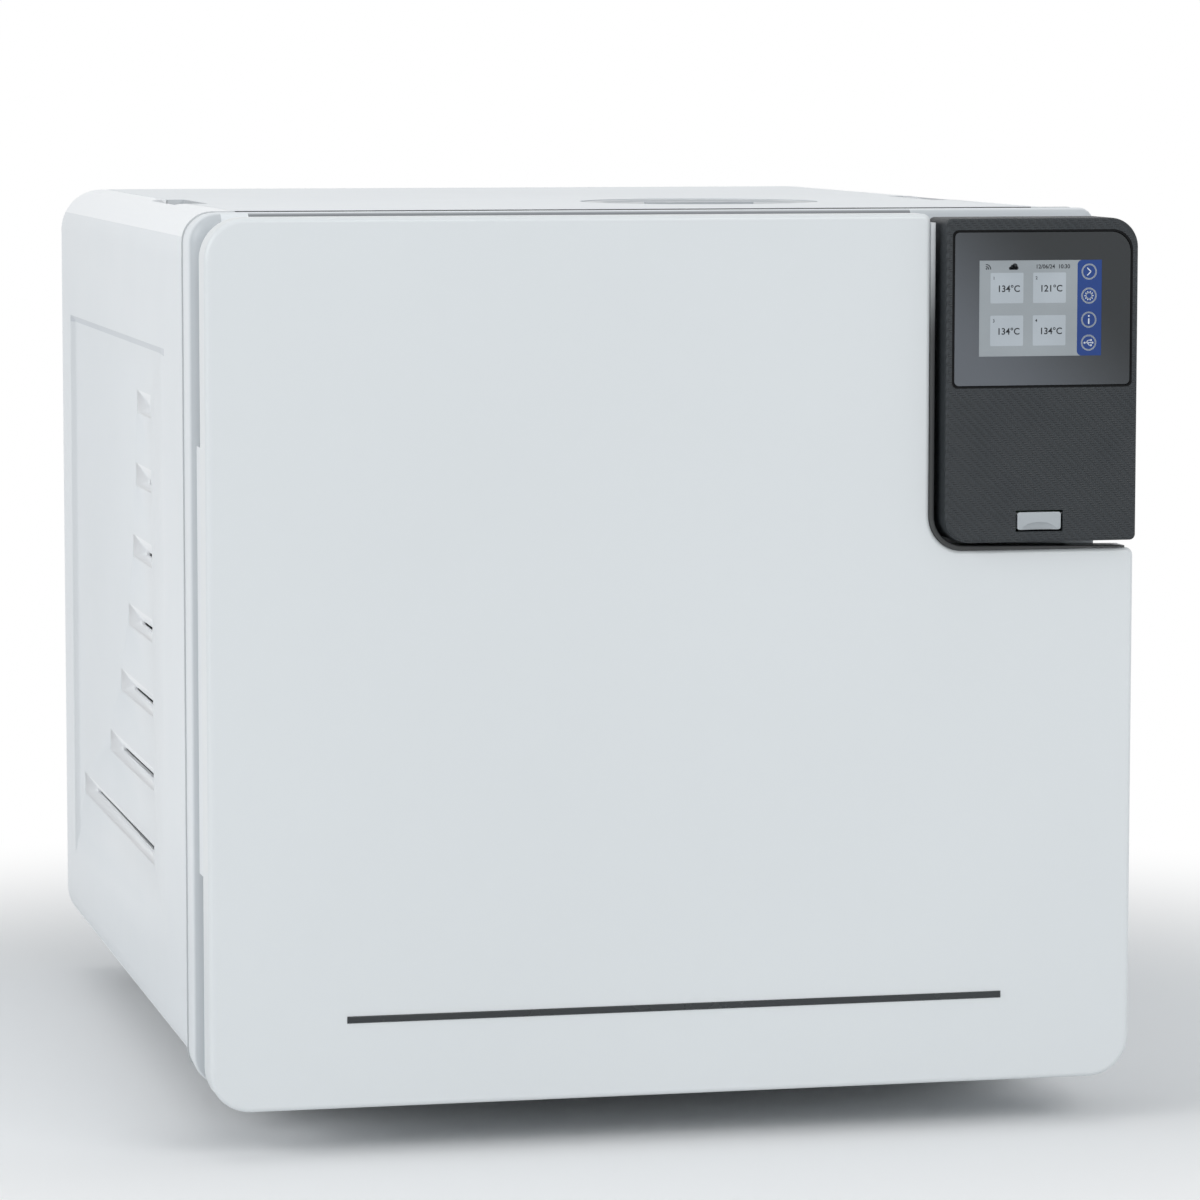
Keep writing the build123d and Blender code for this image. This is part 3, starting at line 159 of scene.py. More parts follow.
def make_floor():
    """Pale floor that fades to plain white away from the machine."""
    mesh = bmesh.new()
    bmesh.ops.create_circle(mesh, cap_ends=True, segments=96, radius=9.0)
    data = bpy.data.meshes.new("floor")
    mesh.to_mesh(data)
    mesh.free()
    floor = bpy.data.objects.new("floor", data)
    bpy.context.scene.collection.objects.link(floor)
    material = bpy.data.materials.new("floor_paint")
    material.use_nodes = True
    tree = material.node_tree
    tree.nodes.clear()
    where = tree.nodes.new("ShaderNodeTexCoord")
    far = tree.nodes.new("ShaderNodeVectorMath")
    far.operation = "LENGTH"
    fade = tree.nodes.new("ShaderNodeMapRange")
    fade.interpolation_type = "SMOOTHSTEP"
    fade.inputs["From Min"].default_value = 0.35
    fade.inputs["From Max"].default_value = 0.85
    paint = tree.nodes.new("ShaderNodeBsdfDiffuse")
    paint.inputs["Color"].default_value = (0.93, 0.935, 0.94, 1)
    white = tree.nodes.new("ShaderNodeEmission")
    white.inputs["Strength"].default_value = 1.0
    share = tree.nodes.new("ShaderNodeMath")
    share.operation = "MULTIPLY"
    mix = tree.nodes.new("ShaderNodeMixShader")
    out = tree.nodes.new("ShaderNodeOutputMaterial")
    tree.links.new(where.outputs["Object"], far.inputs[0])
    tree.links.new(far.outputs["Value"], fade.inputs["Value"])
    tree.links.new(fade.outputs["Result"], share.inputs[0])
    tree.links.new(seen_directly(tree), share.inputs[1])
    tree.links.new(share.outputs[0], mix.inputs["Fac"])
    tree.links.new(paint.outputs[0], mix.inputs[1])
    tree.links.new(white.outputs[0], mix.inputs[2])
    tree.links.new(mix.outputs[0], out.inputs["Surface"])
    data.materials.append(material)


# Finishes: every one has its own colour spread, gloss and surface relief

def shade(red, green, blue):
    """Linear colour from the 0 to 255 values of a screen."""
    values = [v / 255 for v in (red, green, blue)]
    return tuple(v / 12.92 if v <= 0.04045 else ((v + 0.055) / 1.055) ** 2.4 for v in values) + (1.0,)


def new_finish(name, sockets):
    material = bpy.data.materials.new(name)
    material.use_nodes = True
    shader = material.node_tree.nodes["Principled BSDF"]
    for key, value in sockets.items():
        shader.inputs[key].default_value = value
    return material, material.node_tree, shader


def place(tree, scale=(1, 1, 1), turn=(0, 0, 0), shift=(0, 0, 0)):
    """Object coordinates, stretched, turned and moved."""
    where = tree.nodes.new("ShaderNodeTexCoord")
    mapping = tree.nodes.new("ShaderNodeMapping")
    mapping.inputs["Scale"].default_value = scale
    mapping.inputs["Rotation"].default_value = turn
    mapping.inputs["Location"].default_value = shift
    tree.links.new(where.outputs["Object"], mapping.inputs["Vector"])
    return mapping.outputs["Vector"]


def noise(tree, where, scale, detail=2.0):
    texture = tree.nodes.new("ShaderNodeTexNoise")
    texture.inputs["Scale"].default_value = scale
    texture.inputs["Detail"].default_value = detail
    tree.links.new(where, texture.inputs["Vector"])
    return texture.outputs["Fac"]


def spread(tree, value, low, high):
    """Value from 0 to 1, spread between low and high."""
    node = tree.nodes.new("ShaderNodeMapRange")
    node.inputs["From Min"].default_value = 0.3
    node.inputs["From Max"].default_value = 0.7
    node.inputs["To Min"].default_value = low
    node.inputs["To Max"].default_value = high
    tree.links.new(value, node.inputs["Value"])
    return node.outputs["Result"]


def between(tree, value, first, second):
    """Colour between two, picked by a value from 0 to 1."""
    ramp = tree.nodes.new("ShaderNodeValToRGB")
    ramp.color_ramp.elements[0].position = 0.3
    ramp.color_ramp.elements[0].color = first
    ramp.color_ramp.elements[1].position = 0.7
    ramp.color_ramp.elements[1].color = second
    tree.links.new(value, ramp.inputs["Fac"])
    return ramp.outputs["Color"]


def relief(tree, shader, height, depth, strength=1.0):
    bump = tree.nodes.new("ShaderNodeBump")
    bump.inputs["Distance"].default_value = depth
    bump.inputs["Strength"].default_value = strength
    tree.links.new(height, bump.inputs["Height"])
    tree.links.new(bump.outputs["Normal"], shader.inputs["Normal"])


def math_node(tree, operation, first, second=None):
    node = tree.nodes.new("ShaderNodeMath")
    node.operation = operation
    for socket, value in zip(node.inputs, (first, second)):
        if isinstance(value, (int, float)):
            socket.default_value = value
        elif value is not None:
            tree.links.new(value, socket)
    return node.outputs[0]


def inside(tree, value, low, high):
    """1 where the value lies between two limits, else 0."""
    return math_node(tree, "MULTIPLY", math_node(tree, "GREATER_THAN", value, low),
                     math_node(tree, "LESS_THAN", value, high))


def fade(tree, value, start, end, kind="LINEAR"):
    """0 up to the start, 1 from the end on."""
    node = tree.nodes.new("ShaderNodeMapRange")
    node.interpolation_type = kind
    node.inputs["From Min"].default_value = start
    node.inputs["From Max"].default_value = end
    tree.links.new(value, node.inputs["Value"])
    return node.outputs["Result"]


def split_axes(tree, where):
    split = tree.nodes.new("ShaderNodeSeparateXYZ")
    tree.links.new(where, split.inputs[0])
    return split.outputs["X"], split.outputs["Y"], split.outputs["Z"]


def tinted(tree, tone, colour, share):
    """The tone, with a colour mixed in by a share from 0 to 1."""
    tint = tree.nodes.new("ShaderNodeMix")
    tint.data_type = "RGBA"
    tint.inputs["B"].default_value = colour
    tree.links.new(share, tint.inputs["Factor"])
    tree.links.new(tone, tint.inputs["A"])
    return tint.outputs["Result"]


def grained(name, first, second, gloss, grain, depth, patch=7.0, sockets=None):
    """Moulded or painted surface: soft patches of colour, uneven gloss and a fine grain."""
    material, tree, shader = new_finish(name, sockets or {})
    where = place(tree)
    tree.links.new(between(tree, noise(tree, where, patch, 3), first, second), shader.inputs["Base Color"])
    tree.links.new(spread(tree, noise(tree, where, patch * 9, 4), *gloss), shader.inputs["Roughness"])
    relief(tree, shader, noise(tree, where, grain, 3), depth)
    return material


def brushed(name, first, second, gloss, along, depth=0.00002):
    """Metal with fine lines along one axis."""
    material, tree, shader = new_finish(name, {"Metallic": 1.0})
    scale = [900.0, 900.0, 900.0]
    scale["xyz".index(along)] = 9.0
    lines = noise(tree, place(tree, scale), 1.0, 4)
    patches = noise(tree, place(tree), 11.0, 3)
    tree.links.new(between(tree, patches, first, second), shader.inputs["Base Color"])
    tree.links.new(spread(tree, lines, *gloss), shader.inputs["Roughness"])
    relief(tree, shader, lines, depth)
    return material


def zinc_finish():
    """Zinc plating with its large soft crystals."""
    material, tree, shader = new_finish("zinc", {"Metallic": 1.0})
    crystals = tree.nodes.new("ShaderNodeTexVoronoi")
    crystals.inputs["Scale"].default_value = 110.0
    tree.links.new(place(tree), crystals.inputs["Vector"])
    tone = between(tree, crystals.outputs["Color"], shade(176, 181, 185), shade(205, 209, 212))
    tree.links.new(tone, shader.inputs["Base Color"])
    tree.links.new(spread(tree, crystals.outputs["Color"], 0.34, 0.5), shader.inputs["Roughness"])
    relief(tree, shader, noise(tree, place(tree), 700.0), 0.00002)
    return material


def twill_finish(name, warp_tone, weft_tone, thread, depth, sockets):
    """Two-over-two weave on Object coordinates, without a seam round the edges."""
    material, tree, shader = new_finish(name, sockets)
    x, y, z = split_axes(tree, place(tree, (1 / thread,) * 3))
    u = math_node(tree, "ADD", x, y)
    v = math_node(tree, "ADD", z, y)
    step = math_node(tree, "ADD", math_node(tree, "FLOOR", u), math_node(tree, "FLOOR", v))
    over = math_node(tree, "LESS_THAN", math_node(tree, "FLOORED_MODULO", step, 4.0), 1.5)
    across_u = math_node(tree, "SINE", math_node(tree, "MULTIPLY", math_node(tree, "FRACT", u), math.pi))
    across_v = math_node(tree, "SINE", math_node(tree, "MULTIPLY", math_node(tree, "FRACT", v), math.pi))
    pick = tree.nodes.new("ShaderNodeMix")
    tree.links.new(over, pick.inputs["Factor"])
    tree.links.new(across_v, pick.inputs["A"])
    tree.links.new(across_u, pick.inputs["B"])
    tone = tree.nodes.new("ShaderNodeMix")
    tone.data_type = "RGBA"
    tone.inputs["A"].default_value = weft_tone
    tone.inputs["B"].default_value = warp_tone
    tree.links.new(over, tone.inputs["Factor"])
    tree.links.new(tone.outputs["Result"], shader.inputs["Base Color"])
    tree.links.new(spread(tree, noise(tree, place(tree), 60.0), 0.42, 0.56), shader.inputs["Roughness"])
    relief(tree, shader, pick.outputs["Result"], depth)
    return material


def picture_finish(name, first, second):
    """Lit picture behind glass: faint cells, a weak glow and the glass's own gloss."""
    material, tree, shader = new_finish(name, {"Roughness": 0.4, "Coat Weight": 0.5, "Coat Roughness": 0.05,
                                               "Specular IOR Level": 0.1, "Emission Strength": 0.12})
    cells = tree.nodes.new("ShaderNodeTexChecker")
    cells.inputs["Scale"].default_value = 4000.0
    cells.inputs["Color1"].default_value = (1, 1, 1, 1)
    cells.inputs["Color2"].default_value = (0.94, 0.95, 0.96, 1)
    tree.links.new(place(tree), cells.inputs["Vector"])
    tint = tree.nodes.new("ShaderNodeMix")
    tint.data_type = "RGBA"
    tint.blend_type = "MULTIPLY"
    tint.inputs["Factor"].default_value = 1.0
    tree.links.new(between(tree, noise(tree, place(tree), 30.0), first, second), tint.inputs["A"])
    tree.links.new(cells.outputs["Color"], tint.inputs["B"])
    tree.links.new(tint.outputs["Result"], shader.inputs["Base Color"])
    tree.links.new(tint.outputs["Result"], shader.inputs["Emission Color"])
    return material


def pale_skin(tree, shader, tone):
    """Puts a tone, an uneven gloss and a fine grain on a pale moulding."""
    tree.links.new(tone, shader.inputs["Base Color"])
    tree.links.new(spread(tree, noise(tree, place(tree), 36.0, 4), 0.36, 0.4), shader.inputs["Roughness"])
    relief(tree, shader, noise(tree, place(tree), 2600.0, 3), 0.000006)


def shaded_side(first, second):
    """Side moulding with painted shade greying the top of its recess, and painted light whitening the pockets behind
    the louvres.
    """
    material, tree, shader = new_finish("side_moulding_painted_light", {})
    x, y, z = split_axes(tree, place(tree))
    out = math_node(tree, "ABSOLUTE", x)
    # Mask of the recess's top band, where the grey painted shade goes
    along = math_node(tree, "MULTIPLY", inside(tree, y, *CREASE_Y), inside(tree, z, *CREASE_Z))
    slope = math_node(tree, "MULTIPLY", along, inside(tree, out, *CREASE_X))
    tone = between(tree, noise(tree, place(tree), 4.0, 3), first, second)
    # Painted light: whiter deeper in than the recess floor, for the louvre pockets
    tone = tinted(tree, tone, shade(250, 252, 254), math_node(tree, "LESS_THAN", out, CREASE_X[0]))
    # Painted shade: grey along the top of the recess
    pale_skin(tree, shader, tinted(tree, tone, shade(210, 215, 220), slope))
    return material


def shaded_frame(first, second):
    """Moulding with painted shade: greyer in the groove behind the door than on its lip, and darkest in its top scoop;
    the corner block beside the scoop keeps the lip's tone.
    """
    material, tree, shader = new_finish("white_frame_painted_shade", {})
    x, y, z = split_axes(tree, place(tree))
    high = math_node(tree, "GREATER_THAN", z, NECK_TOP)
    beside = math_node(tree, "MULTIPLY", high, inside(tree, x, *BLOCK_X))
    over = math_node(tree, "MULTIPLY", high, inside(tree, x, *SCOOP_X))
    # Painted shade falls everywhere in front of the groove fade except on the corner block
    lit = math_node(tree, "MAXIMUM", fade(tree, y, *GROOVE_FADE), beside)
    shaded = math_node(tree, "SUBTRACT", 1.0, lit)
    tone = between(tree, noise(tree, place(tree), 4.0, 3), first, second)
    # Painted shade: grey where shaded, darker grey where that lies over the top scoop
    tone = tinted(tree, tone, shade(196, 201, 205), shaded)
    pale_skin(tree, shader, tinted(tree, tone, shade(122, 126, 130), math_node(tree, "MULTIPLY", shaded, over)))
    return material


def cut_shade_finish():
    """Dark grey strip painted as the shade in the gap round the panel, with painted light near its upper end, and on
    its ledge near its right end.
    """
    material, tree, shader = new_finish("cut_shade_strip", {})
    x, y, z = split_axes(tree, place(tree))
    ledge = math_node(tree, "GREATER_THAN", y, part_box("door_cover")[0].y + SHADE_STRIP_FRONT + SHADE_STRIP_LEDGE)
    upper_painted_light = fade(tree, z, *SHADE_STRIP_LIT_Z, "SMOOTHSTEP")
    ledge_painted_light = math_node(tree, "MULTIPLY", fade(tree, x, *SHADE_STRIP_LIT_X, "SMOOTHSTEP"), ledge)
    # Painted shade: dark grey for the shade in the gap round the panel
    tone = between(tree, noise(tree, place(tree), 9.0, 3), shade(60, 62, 63), shade(70, 72, 73))
    # Painted light: pale towards the upper end, near the gap's open top
    tone = tinted(tree, tone, shade(205, 208, 210), upper_painted_light)
    # Painted light: pale on the ledge towards the right end
    tone = tinted(tree, tone, shade(240, 243, 245), ledge_painted_light)
    tree.links.new(tone, shader.inputs["Base Color"])
    tree.links.new(spread(tree, noise(tree, place(tree), 60.0), 0.34, 0.42), shader.inputs["Roughness"])
    relief(tree, shader, noise(tree, place(tree), 1800.0), 0.000006)
    return material


def glass_finish():
    """Dark printed glass, with a painted reflection that makes it paler towards its lower left corner."""
    material, tree, shader = new_finish("smoked_glass", {"Specular IOR Level": 0.5})
    low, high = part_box("display_glass")
    size = high - low
    corner = (-low.x / size.x, 0, -low.z / size.z)
    x, y, z = split_axes(tree, place(tree, (1 / size.x, 1, 1 / size.z), shift=corner))
    # Painted reflection: the ramp runs from pale at the lower left to dark at the upper right
    slope = math_node(tree, "ADD", math_node(tree, "MULTIPLY", x, 0.55), math_node(tree, "MULTIPLY", z, 0.45))
    ramp = tree.nodes.new("ShaderNodeValToRGB")
    ramp.color_ramp.interpolation = "EASE"
    ramp.color_ramp.elements[0].position = 0.08
    ramp.color_ramp.elements[0].color = shade(92, 97, 104)
    ramp.color_ramp.elements[1].position = 0.72
    ramp.color_ramp.elements[1].color = shade(34, 39, 42)
    tree.links.new(slope, ramp.inputs["Fac"])
    tree.links.new(ramp.outputs["Color"], shader.inputs["Base Color"])
    tree.links.new(spread(tree, noise(tree, place(tree), 40.0), 0.08, 0.12), shader.inputs["Roughness"])
    relief(tree, shader, noise(tree, place(tree), 300.0), 0.000001)
    return material


def board_finish():
    """Green solder mask over faint copper tracks."""
    material, tree, shader = new_finish("circuit_board", {"Coat Weight": 0.3, "Coat Roughness": 0.2})
    tracks = tree.nodes.new("ShaderNodeTexBrick")
    tracks.inputs["Scale"].default_value = 190.0
    tracks.inputs["Mortar Size"].default_value = 0.05
    tracks.inputs["Color1"].default_value = shade(16, 92, 58)
    tracks.inputs["Color2"].default_value = shade(14, 82, 52)
    tracks.inputs["Mortar"].default_value = shade(34, 122, 78)
    tree.links.new(place(tree, turn=(math.pi / 2, 0, 0)), tracks.inputs["Vector"])
    tree.links.new(tracks.outputs["Color"], shader.inputs["Base Color"])
    tree.links.new(spread(tree, noise(tree, place(tree), 80.0), 0.3, 0.45), shader.inputs["Roughness"])
    relief(tree, shader, tracks.outputs["Fac"], 0.00003)
    return material


def make_finishes():
    pale = (shade(229, 233, 236), shade(233, 237, 240))
    return {
        "moulding": grained("white_moulding", *pale, (0.36, 0.4), 2600.0, 0.000006, patch=4.0),
        "frame": shaded_frame(*pale),
        "side": shaded_side(*pale),
        "door": grained("door_white", shade(224, 228, 230), shade(227, 231, 233), (0.3, 0.33), 2600.0, 0.000003,
                        patch=3.0),
        "bar": grained("black_trim", shade(38, 43, 46), shade(44, 49, 52), (0.2, 0.3), 2200.0, 0.00001),
        "weave": twill_finish("textured_black", shade(45, 50, 54), shade(35, 40, 44), 0.0011, 0.00022,
                              {"Specular IOR Level": 0.4}),
        "glass": glass_finish(),
        # Painted shade: black for the gap round the glass
        "black": grained("gap_shade_black", shade(14, 15, 16), shade(18, 19, 21), (0.5, 0.6), 1800.0, 0.00001,
                         sockets={"Specular IOR Level": 0.1}),
        "cut_shade": cut_shade_finish(),
        # Painted shade: grey for the seams beside the front frame
        "seam": grained("seam_shade_grey", shade(196, 199, 201), shade(202, 205, 207), (0.5, 0.6), 1800.0, 0.00001),
        "screen_ground": picture_finish("screen_ground", shade(143, 149, 153), shade(151, 157, 161)),
        "screen_tile": picture_finish("screen_tile", shade(165, 172, 178), shade(173, 180, 186)),
        "screen_blue": picture_finish("screen_blue", shade(22, 55, 119), shade(26, 61, 127)),
        "screen_ink": picture_finish("screen_ink", shade(34, 37, 41), shade(40, 43, 47)),
        "screen_light": picture_finish("screen_light", shade(206, 212, 218), shade(214, 219, 225)),
        "grey_button": grained("grey_button", shade(168, 174, 178), shade(176, 182, 186), (0.3, 0.4), 2400.0,
                               0.00001),
        "lid": grained("lid_grey", shade(176, 181, 185), shade(186, 190, 194), (0.3, 0.4), 2400.0, 0.00001),
        "zinc": zinc_finish(),
        # Painted shade: mid grey standing in for the shade inside the grip pockets
        "pocket": grained("pocket_sheet_painted_shade", shade(86, 90, 93), shade(94, 98, 101), (0.4, 0.52), 1300.0, 0.00003),
        "painted": grained("painted_sheet", shade(214, 218, 220), shade(222, 225, 227), (0.4, 0.52), 1300.0, 0.00004),
        "steel": brushed("polished_steel", shade(196, 199, 201), shade(222, 224, 225), (0.16, 0.3), "y"),
        "alloy": brushed("alloy", shade(190, 193, 196), shade(212, 214, 216), (0.3, 0.42), "y"),
        "brass": brushed("brass", shade(190, 160, 96), shade(206, 176, 112), (0.22, 0.34), "x"),
        "silicone": grained("silicone", shade(206, 208, 204), shade(216, 218, 214), (0.4, 0.5), 900.0, 0.00002,
                            sockets={"Subsurface Weight": 0.2, "Subsurface Scale": 0.004}),
        "rubber": grained("black_rubber", shade(34, 35, 36), shade(42, 43, 44), (0.65, 0.8), 1500.0, 0.00004),
        "dark": grained("dark_plastic", shade(44, 46, 49), shade(52, 54, 57), (0.4, 0.52), 1800.0, 0.00003),
        "tank": grained("tank_plastic", shade(216, 224, 228), shade(226, 232, 235), (0.34, 0.46), 700.0, 0.00003,
                        sockets={"Subsurface Weight": 0.25, "Subsurface Scale": 0.01}),
        "lagging": twill_finish("lagging", shade(212, 208, 194), shade(196, 191, 176), 0.0022, 0.0003, {}),
        "board": board_finish(),
        "heater": twill_finish("heater_mat", shade(168, 84, 44), shade(150, 70, 34), 0.003, 0.0002, {}),
    }


NODE_FINISH = {
    "door": ["door_cover"],
    "bar": ["trim_bar", "mains_rocker"],
    "frame": ["front_frame"],
    "moulding": ["door_liner", "hinge_post", "top_cover"],
    "side": ["right_side_panel", "left_side_panel"],
    "weave": ["panel_cover", "control_housing"],
    "glass": ["display_glass", "display_module"],
    "grey_button": ["usb_flap"],
    "lid": ["fill_lid"],
    "zinc": ["door_plate", "bulkhead", "chamber_cradles", "deck", "manifold_bracket"],
    "pocket": ["right_grip_pocket", "left_grip_pocket"],
    "painted": ["rear_panel", "base_plate"],
    "steel": ["pressure_disc", "door_striker", "hinge_pins", "lock_bolt", "chamber", "tray_rack", "steam_generator",
              "usb_socket", "rear_screws"],
    "alloy": ["tray_low", "tray_middle", "tray_high", "vacuum_pump", "condenser"],
    "brass": ["valve_manifold", "pipes", "safety_valve", "drain_couplings"],
    "silicone": ["door_gasket"],
    "rubber": ["feet", "pump_mounts"],
    "dark": ["lock_housing", "water_pump", "solenoid_valves", "fan_frame", "fan_rotor", "power_inlet",
             "mains_switch_frame"],
    "tank": ["fill_neck", "clean_water_tank", "used_water_tank", "air_filter"],
    "lagging": ["chamber_lagging"],
    "board": ["control_board", "power_board"],
    "heater": ["chamber_heater"],
}


def paint_nodes(finishes):
    for finish, nodes in NODE_FINISH.items():
        for node in nodes:
            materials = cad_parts[node].data.materials
            materials.clear()
            materials.append(finishes[finish])


# Mesh making

def soften(mesh, edges, radius, segments=4):
    bmesh.ops.bevel(mesh, geom=list(edges), offset=radius, offset_type="OFFSET", segments=segments, profile=0.5,
                    affect="EDGES", material=-1, clamp_overlap=True)


def round_corners(mesh, corners, radii, segments=6):
    """Rounds corners of a flat sheet that lies across Y; a corner is given as (x, z)."""
    for (x, z), radius in zip(corners, radii):
        if radius > 0:
            near = min(mesh.verts, key=lambda v: (v.co.x - x) ** 2 + (v.co.z - z) ** 2)
            bmesh.ops.bevel(mesh, geom=[near], offset=radius, offset_type="OFFSET", segments=segments, profile=0.5,
                            affect="VERTICES", material=-1)


def sheet_across_y(x0, x1, z0, z1, y, radii=(0, 0, 0, 0), segments=6):
    """Flat sheet that faces the front; radii go round from the lower left corner."""
    mesh = bmesh.new()
    corners = [(x0, z0), (x1, z0), (x1, z1), (x0, z1)]
    mesh.faces.new([mesh.verts.new((x, y, z)) for x, z in corners])
    round_corners(mesh, corners, radii, segments)
    return mesh


def thicken(mesh, depth):
    """Gives a flat sheet that faces the front its thickness, towards the back."""
    faces = bmesh.ops.extrude_face_region(mesh, geom=list(mesh.faces), use_keep_orig=True)
    bmesh.ops.translate(mesh, verts=[v for v in faces["geom"] if isinstance(v, bmesh.types.BMVert)], vec=(0, depth, 0))


def split_mesh(mesh, point, normal, keep_all=True):
    """Splits the mesh at a plane, or takes off the side that the normal points to, and returns the new cut."""
    return bmesh.ops.bisect_plane(mesh, geom=mesh.verts[:] + mesh.edges[:] + mesh.faces[:], plane_co=point,
                                  plane_no=normal, clear_outer=not keep_all)["geom_cut"]


def gather(target, mesh):
    """Adds one bmesh to another and frees it."""
    data = bpy.data.meshes.new("part")
    mesh.to_mesh(data)
    mesh.free()
    target.from_mesh(data)
    bpy.data.meshes.remove(data)


def piece_from(mesh, name, body, finish, replaced=(), crease=35):
    """Makes the bmesh a piece that rides on a body; edges sharper than crease stay crisp."""
    bmesh.ops.recalc_face_normals(mesh, faces=list(mesh.faces))
    data = bpy.data.meshes.new(name)
    mesh.to_mesh(data)
    mesh.free()
    data.materials.append(finishes[finish])
    data.shade_smooth()
    data.set_sharp_from_angle(angle=math.radians(crease))
    piece = bpy.data.objects.new(name, data)
    bpy.context.scene.collection.objects.link(piece)
    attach(piece, body)
    if replaced:
        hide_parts(*replaced)
    return piece


# Touch screen: glass with a clear window, and the picture behind it. Places are from the picture's top left corner

FRAME_ROUND_PICTURE = 4.0 * MM
GLASS_RADII = (2.4 * MM, 2.4 * MM, 10.4 * MM, 2.4 * MM)
# The glass is set in from its node, and a black ring in the gap round it is painted shade
GLASS_GAP_IN = 1.0 * MM
GAP_SHADE_OUT = 0.28 * MM
GAP_SHADE_W = 0.95 * MM
GAP_SHADE_Y = (0.02 * MM, 0.9 * MM)
GAP_SHADE_RADII = (3.2 * MM, 3.2 * MM, 11.2 * MM, 3.2 * MM)
PICTURE_BACK = 0.12 * MM
LAYER = 0.02 * MM
TILE = (17.4 * MM, 15.4 * MM)
TILE_PLACES = [(5.9 * MM, 6.3 * MM), (28.4 * MM, 6.3 * MM), (5.9 * MM, 27.9 * MM), (28.4 * MM, 27.9 * MM)]
TILE_NUMBERS = ["134\u00b0C", "121\u00b0C", "134\u00b0C", "134\u00b0C"]
STRIP_START = 51.9 * MM
ICON_X = 58.1 * MM
ICON_HEIGHTS = [6.0 * MM, 18.2 * MM, 30.4 * MM, 42.1 * MM]
ICON_R = 4.0 * MM
FLAP_PINS = 2.3 * MM
FLAP_GAP = 0.45 * MM
FLAP_R = 1.3 * MM
FLAP_AXIS_IN = 1.25 * MM
FLAP_PIN_R = 0.7 * MM
FLAP_SCOOP = (10.5, 3.0, 5.2)


def picture_box():
    low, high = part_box("display_module")
    edge = FRAME_ROUND_PICTURE
    return low.x + edge, high.x - edge, low.z + edge, high.z - edge


def make_glass():
    low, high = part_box("display_glass")
    x0, x1, z0, z1 = picture_box()
    mesh = sheet_across_y(low.x + GLASS_GAP_IN, high.x - GLASS_GAP_IN, low.z + GLASS_GAP_IN, high.z - GLASS_GAP_IN, low.y, GLASS_RADII, 10)
    for x in (x0, x1):
        split_mesh(mesh, (x, 0, 0), (1, 0, 0))
    for z in (z0, z1):
        split_mesh(mesh, (0, 0, z), (0, 0, 1))
    middles = {f: f.calc_center_median() for f in mesh.faces}
    window = [f for f, middle in middles.items() if x0 < middle.x < x1 and z0 < middle.z < z1]
    bmesh.ops.delete(mesh, geom=window, context="FACES")
    thicken(mesh, high.y - low.y)
    piece_from(mesh, "screen_glass", "cabinet", "glass", ["display_glass"])


def ring_across_y(low, high, inset, y0, y1, radii):
    """Flat frame that faces the front, with its width set inwards."""
    mesh = sheet_across_y(low.x, high.x, low.z, high.z, y0, radii, 8)
    bmesh.ops.inset_region(mesh, faces=mesh.faces[:], thickness=inset, use_even_offset=True, use_boundary=True)
    middle = max(mesh.faces, key=lambda f: f.calc_area())
    bmesh.ops.delete(mesh, geom=[middle], context="FACES")
    thicken(mesh, y1 - y0)
    return mesh


def make_glass_gap_shade():
    """Black ring in the gap round the glass, as painted shade of the gap."""
    low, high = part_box("display_glass")
    grow = Vector((GAP_SHADE_OUT, 0, GAP_SHADE_OUT))
    shade_band = ring_across_y(low - grow, high + grow, GAP_SHADE_W, low.y + GAP_SHADE_Y[0], low.y + GAP_SHADE_Y[1], GAP_SHADE_RADII)
    piece_from(shade_band, "glass_gap_shade", "cabinet", "black")


def make_flap():
    """Flap with rounded corners, a shallow finger scoop and its hinge pins, with a dark gap round it."""
    low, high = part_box("usb_flap")
    front = low.y
    x0 = low.x + FLAP_PINS + FLAP_GAP
    x1 = high.x - FLAP_PINS - FLAP_GAP
    mesh = sheet_across_y(x0, x1, low.z + FLAP_GAP, high.z - FLAP_GAP, front, (FLAP_R,) * 4, 6)
    thicken(mesh, high.y - front)
    rim = [e for e in mesh.edges if all(abs(v.co.y - front) < 1e-6 for v in e.verts)]
    soften(mesh, rim, 0.35 * MM, 3)
    body = plain_object(mesh, "flap_body")
    scoop = bmesh.new()
    middle = (x0 + x1) / 2
    matrix = Matrix.Translation((middle, front - 1.2 * MM, low.z - 0.4 * MM)) @ Matrix.Diagonal((*FLAP_SCOOP, 1))
    bmesh.ops.create_uvsphere(scoop, u_segments=64, v_segments=32, radius=MM, matrix=matrix)
    cut = cut_by(body, plain_object(scoop, "flap_scoop"))
    rod = bmesh.new()
    axis = Matrix.Translation((middle, front + FLAP_AXIS_IN, high.z - FLAP_AXIS_IN))
    bmesh.ops.create_cone(rod, cap_ends=True, segments=24, radius1=FLAP_PIN_R, radius2=FLAP_PIN_R,
                          depth=high.x - low.x, matrix=axis @ Matrix.Rotation(math.pi / 2, 4, "Y"))
    piece_from(cut, "data_flap", "flap", "grey_button", ["usb_flap"], crease=25)
    piece_from(rod, "flap_pin", "flap", "dark")


def plain_object(mesh, name):
    data = bpy.data.meshes.new(name)
    bmesh.ops.recalc_face_normals(mesh, faces=list(mesh.faces))
    mesh.to_mesh(data)
    mesh.free()
    holder = bpy.data.objects.new(name, data)
    bpy.context.scene.collection.objects.link(holder)
    return holder


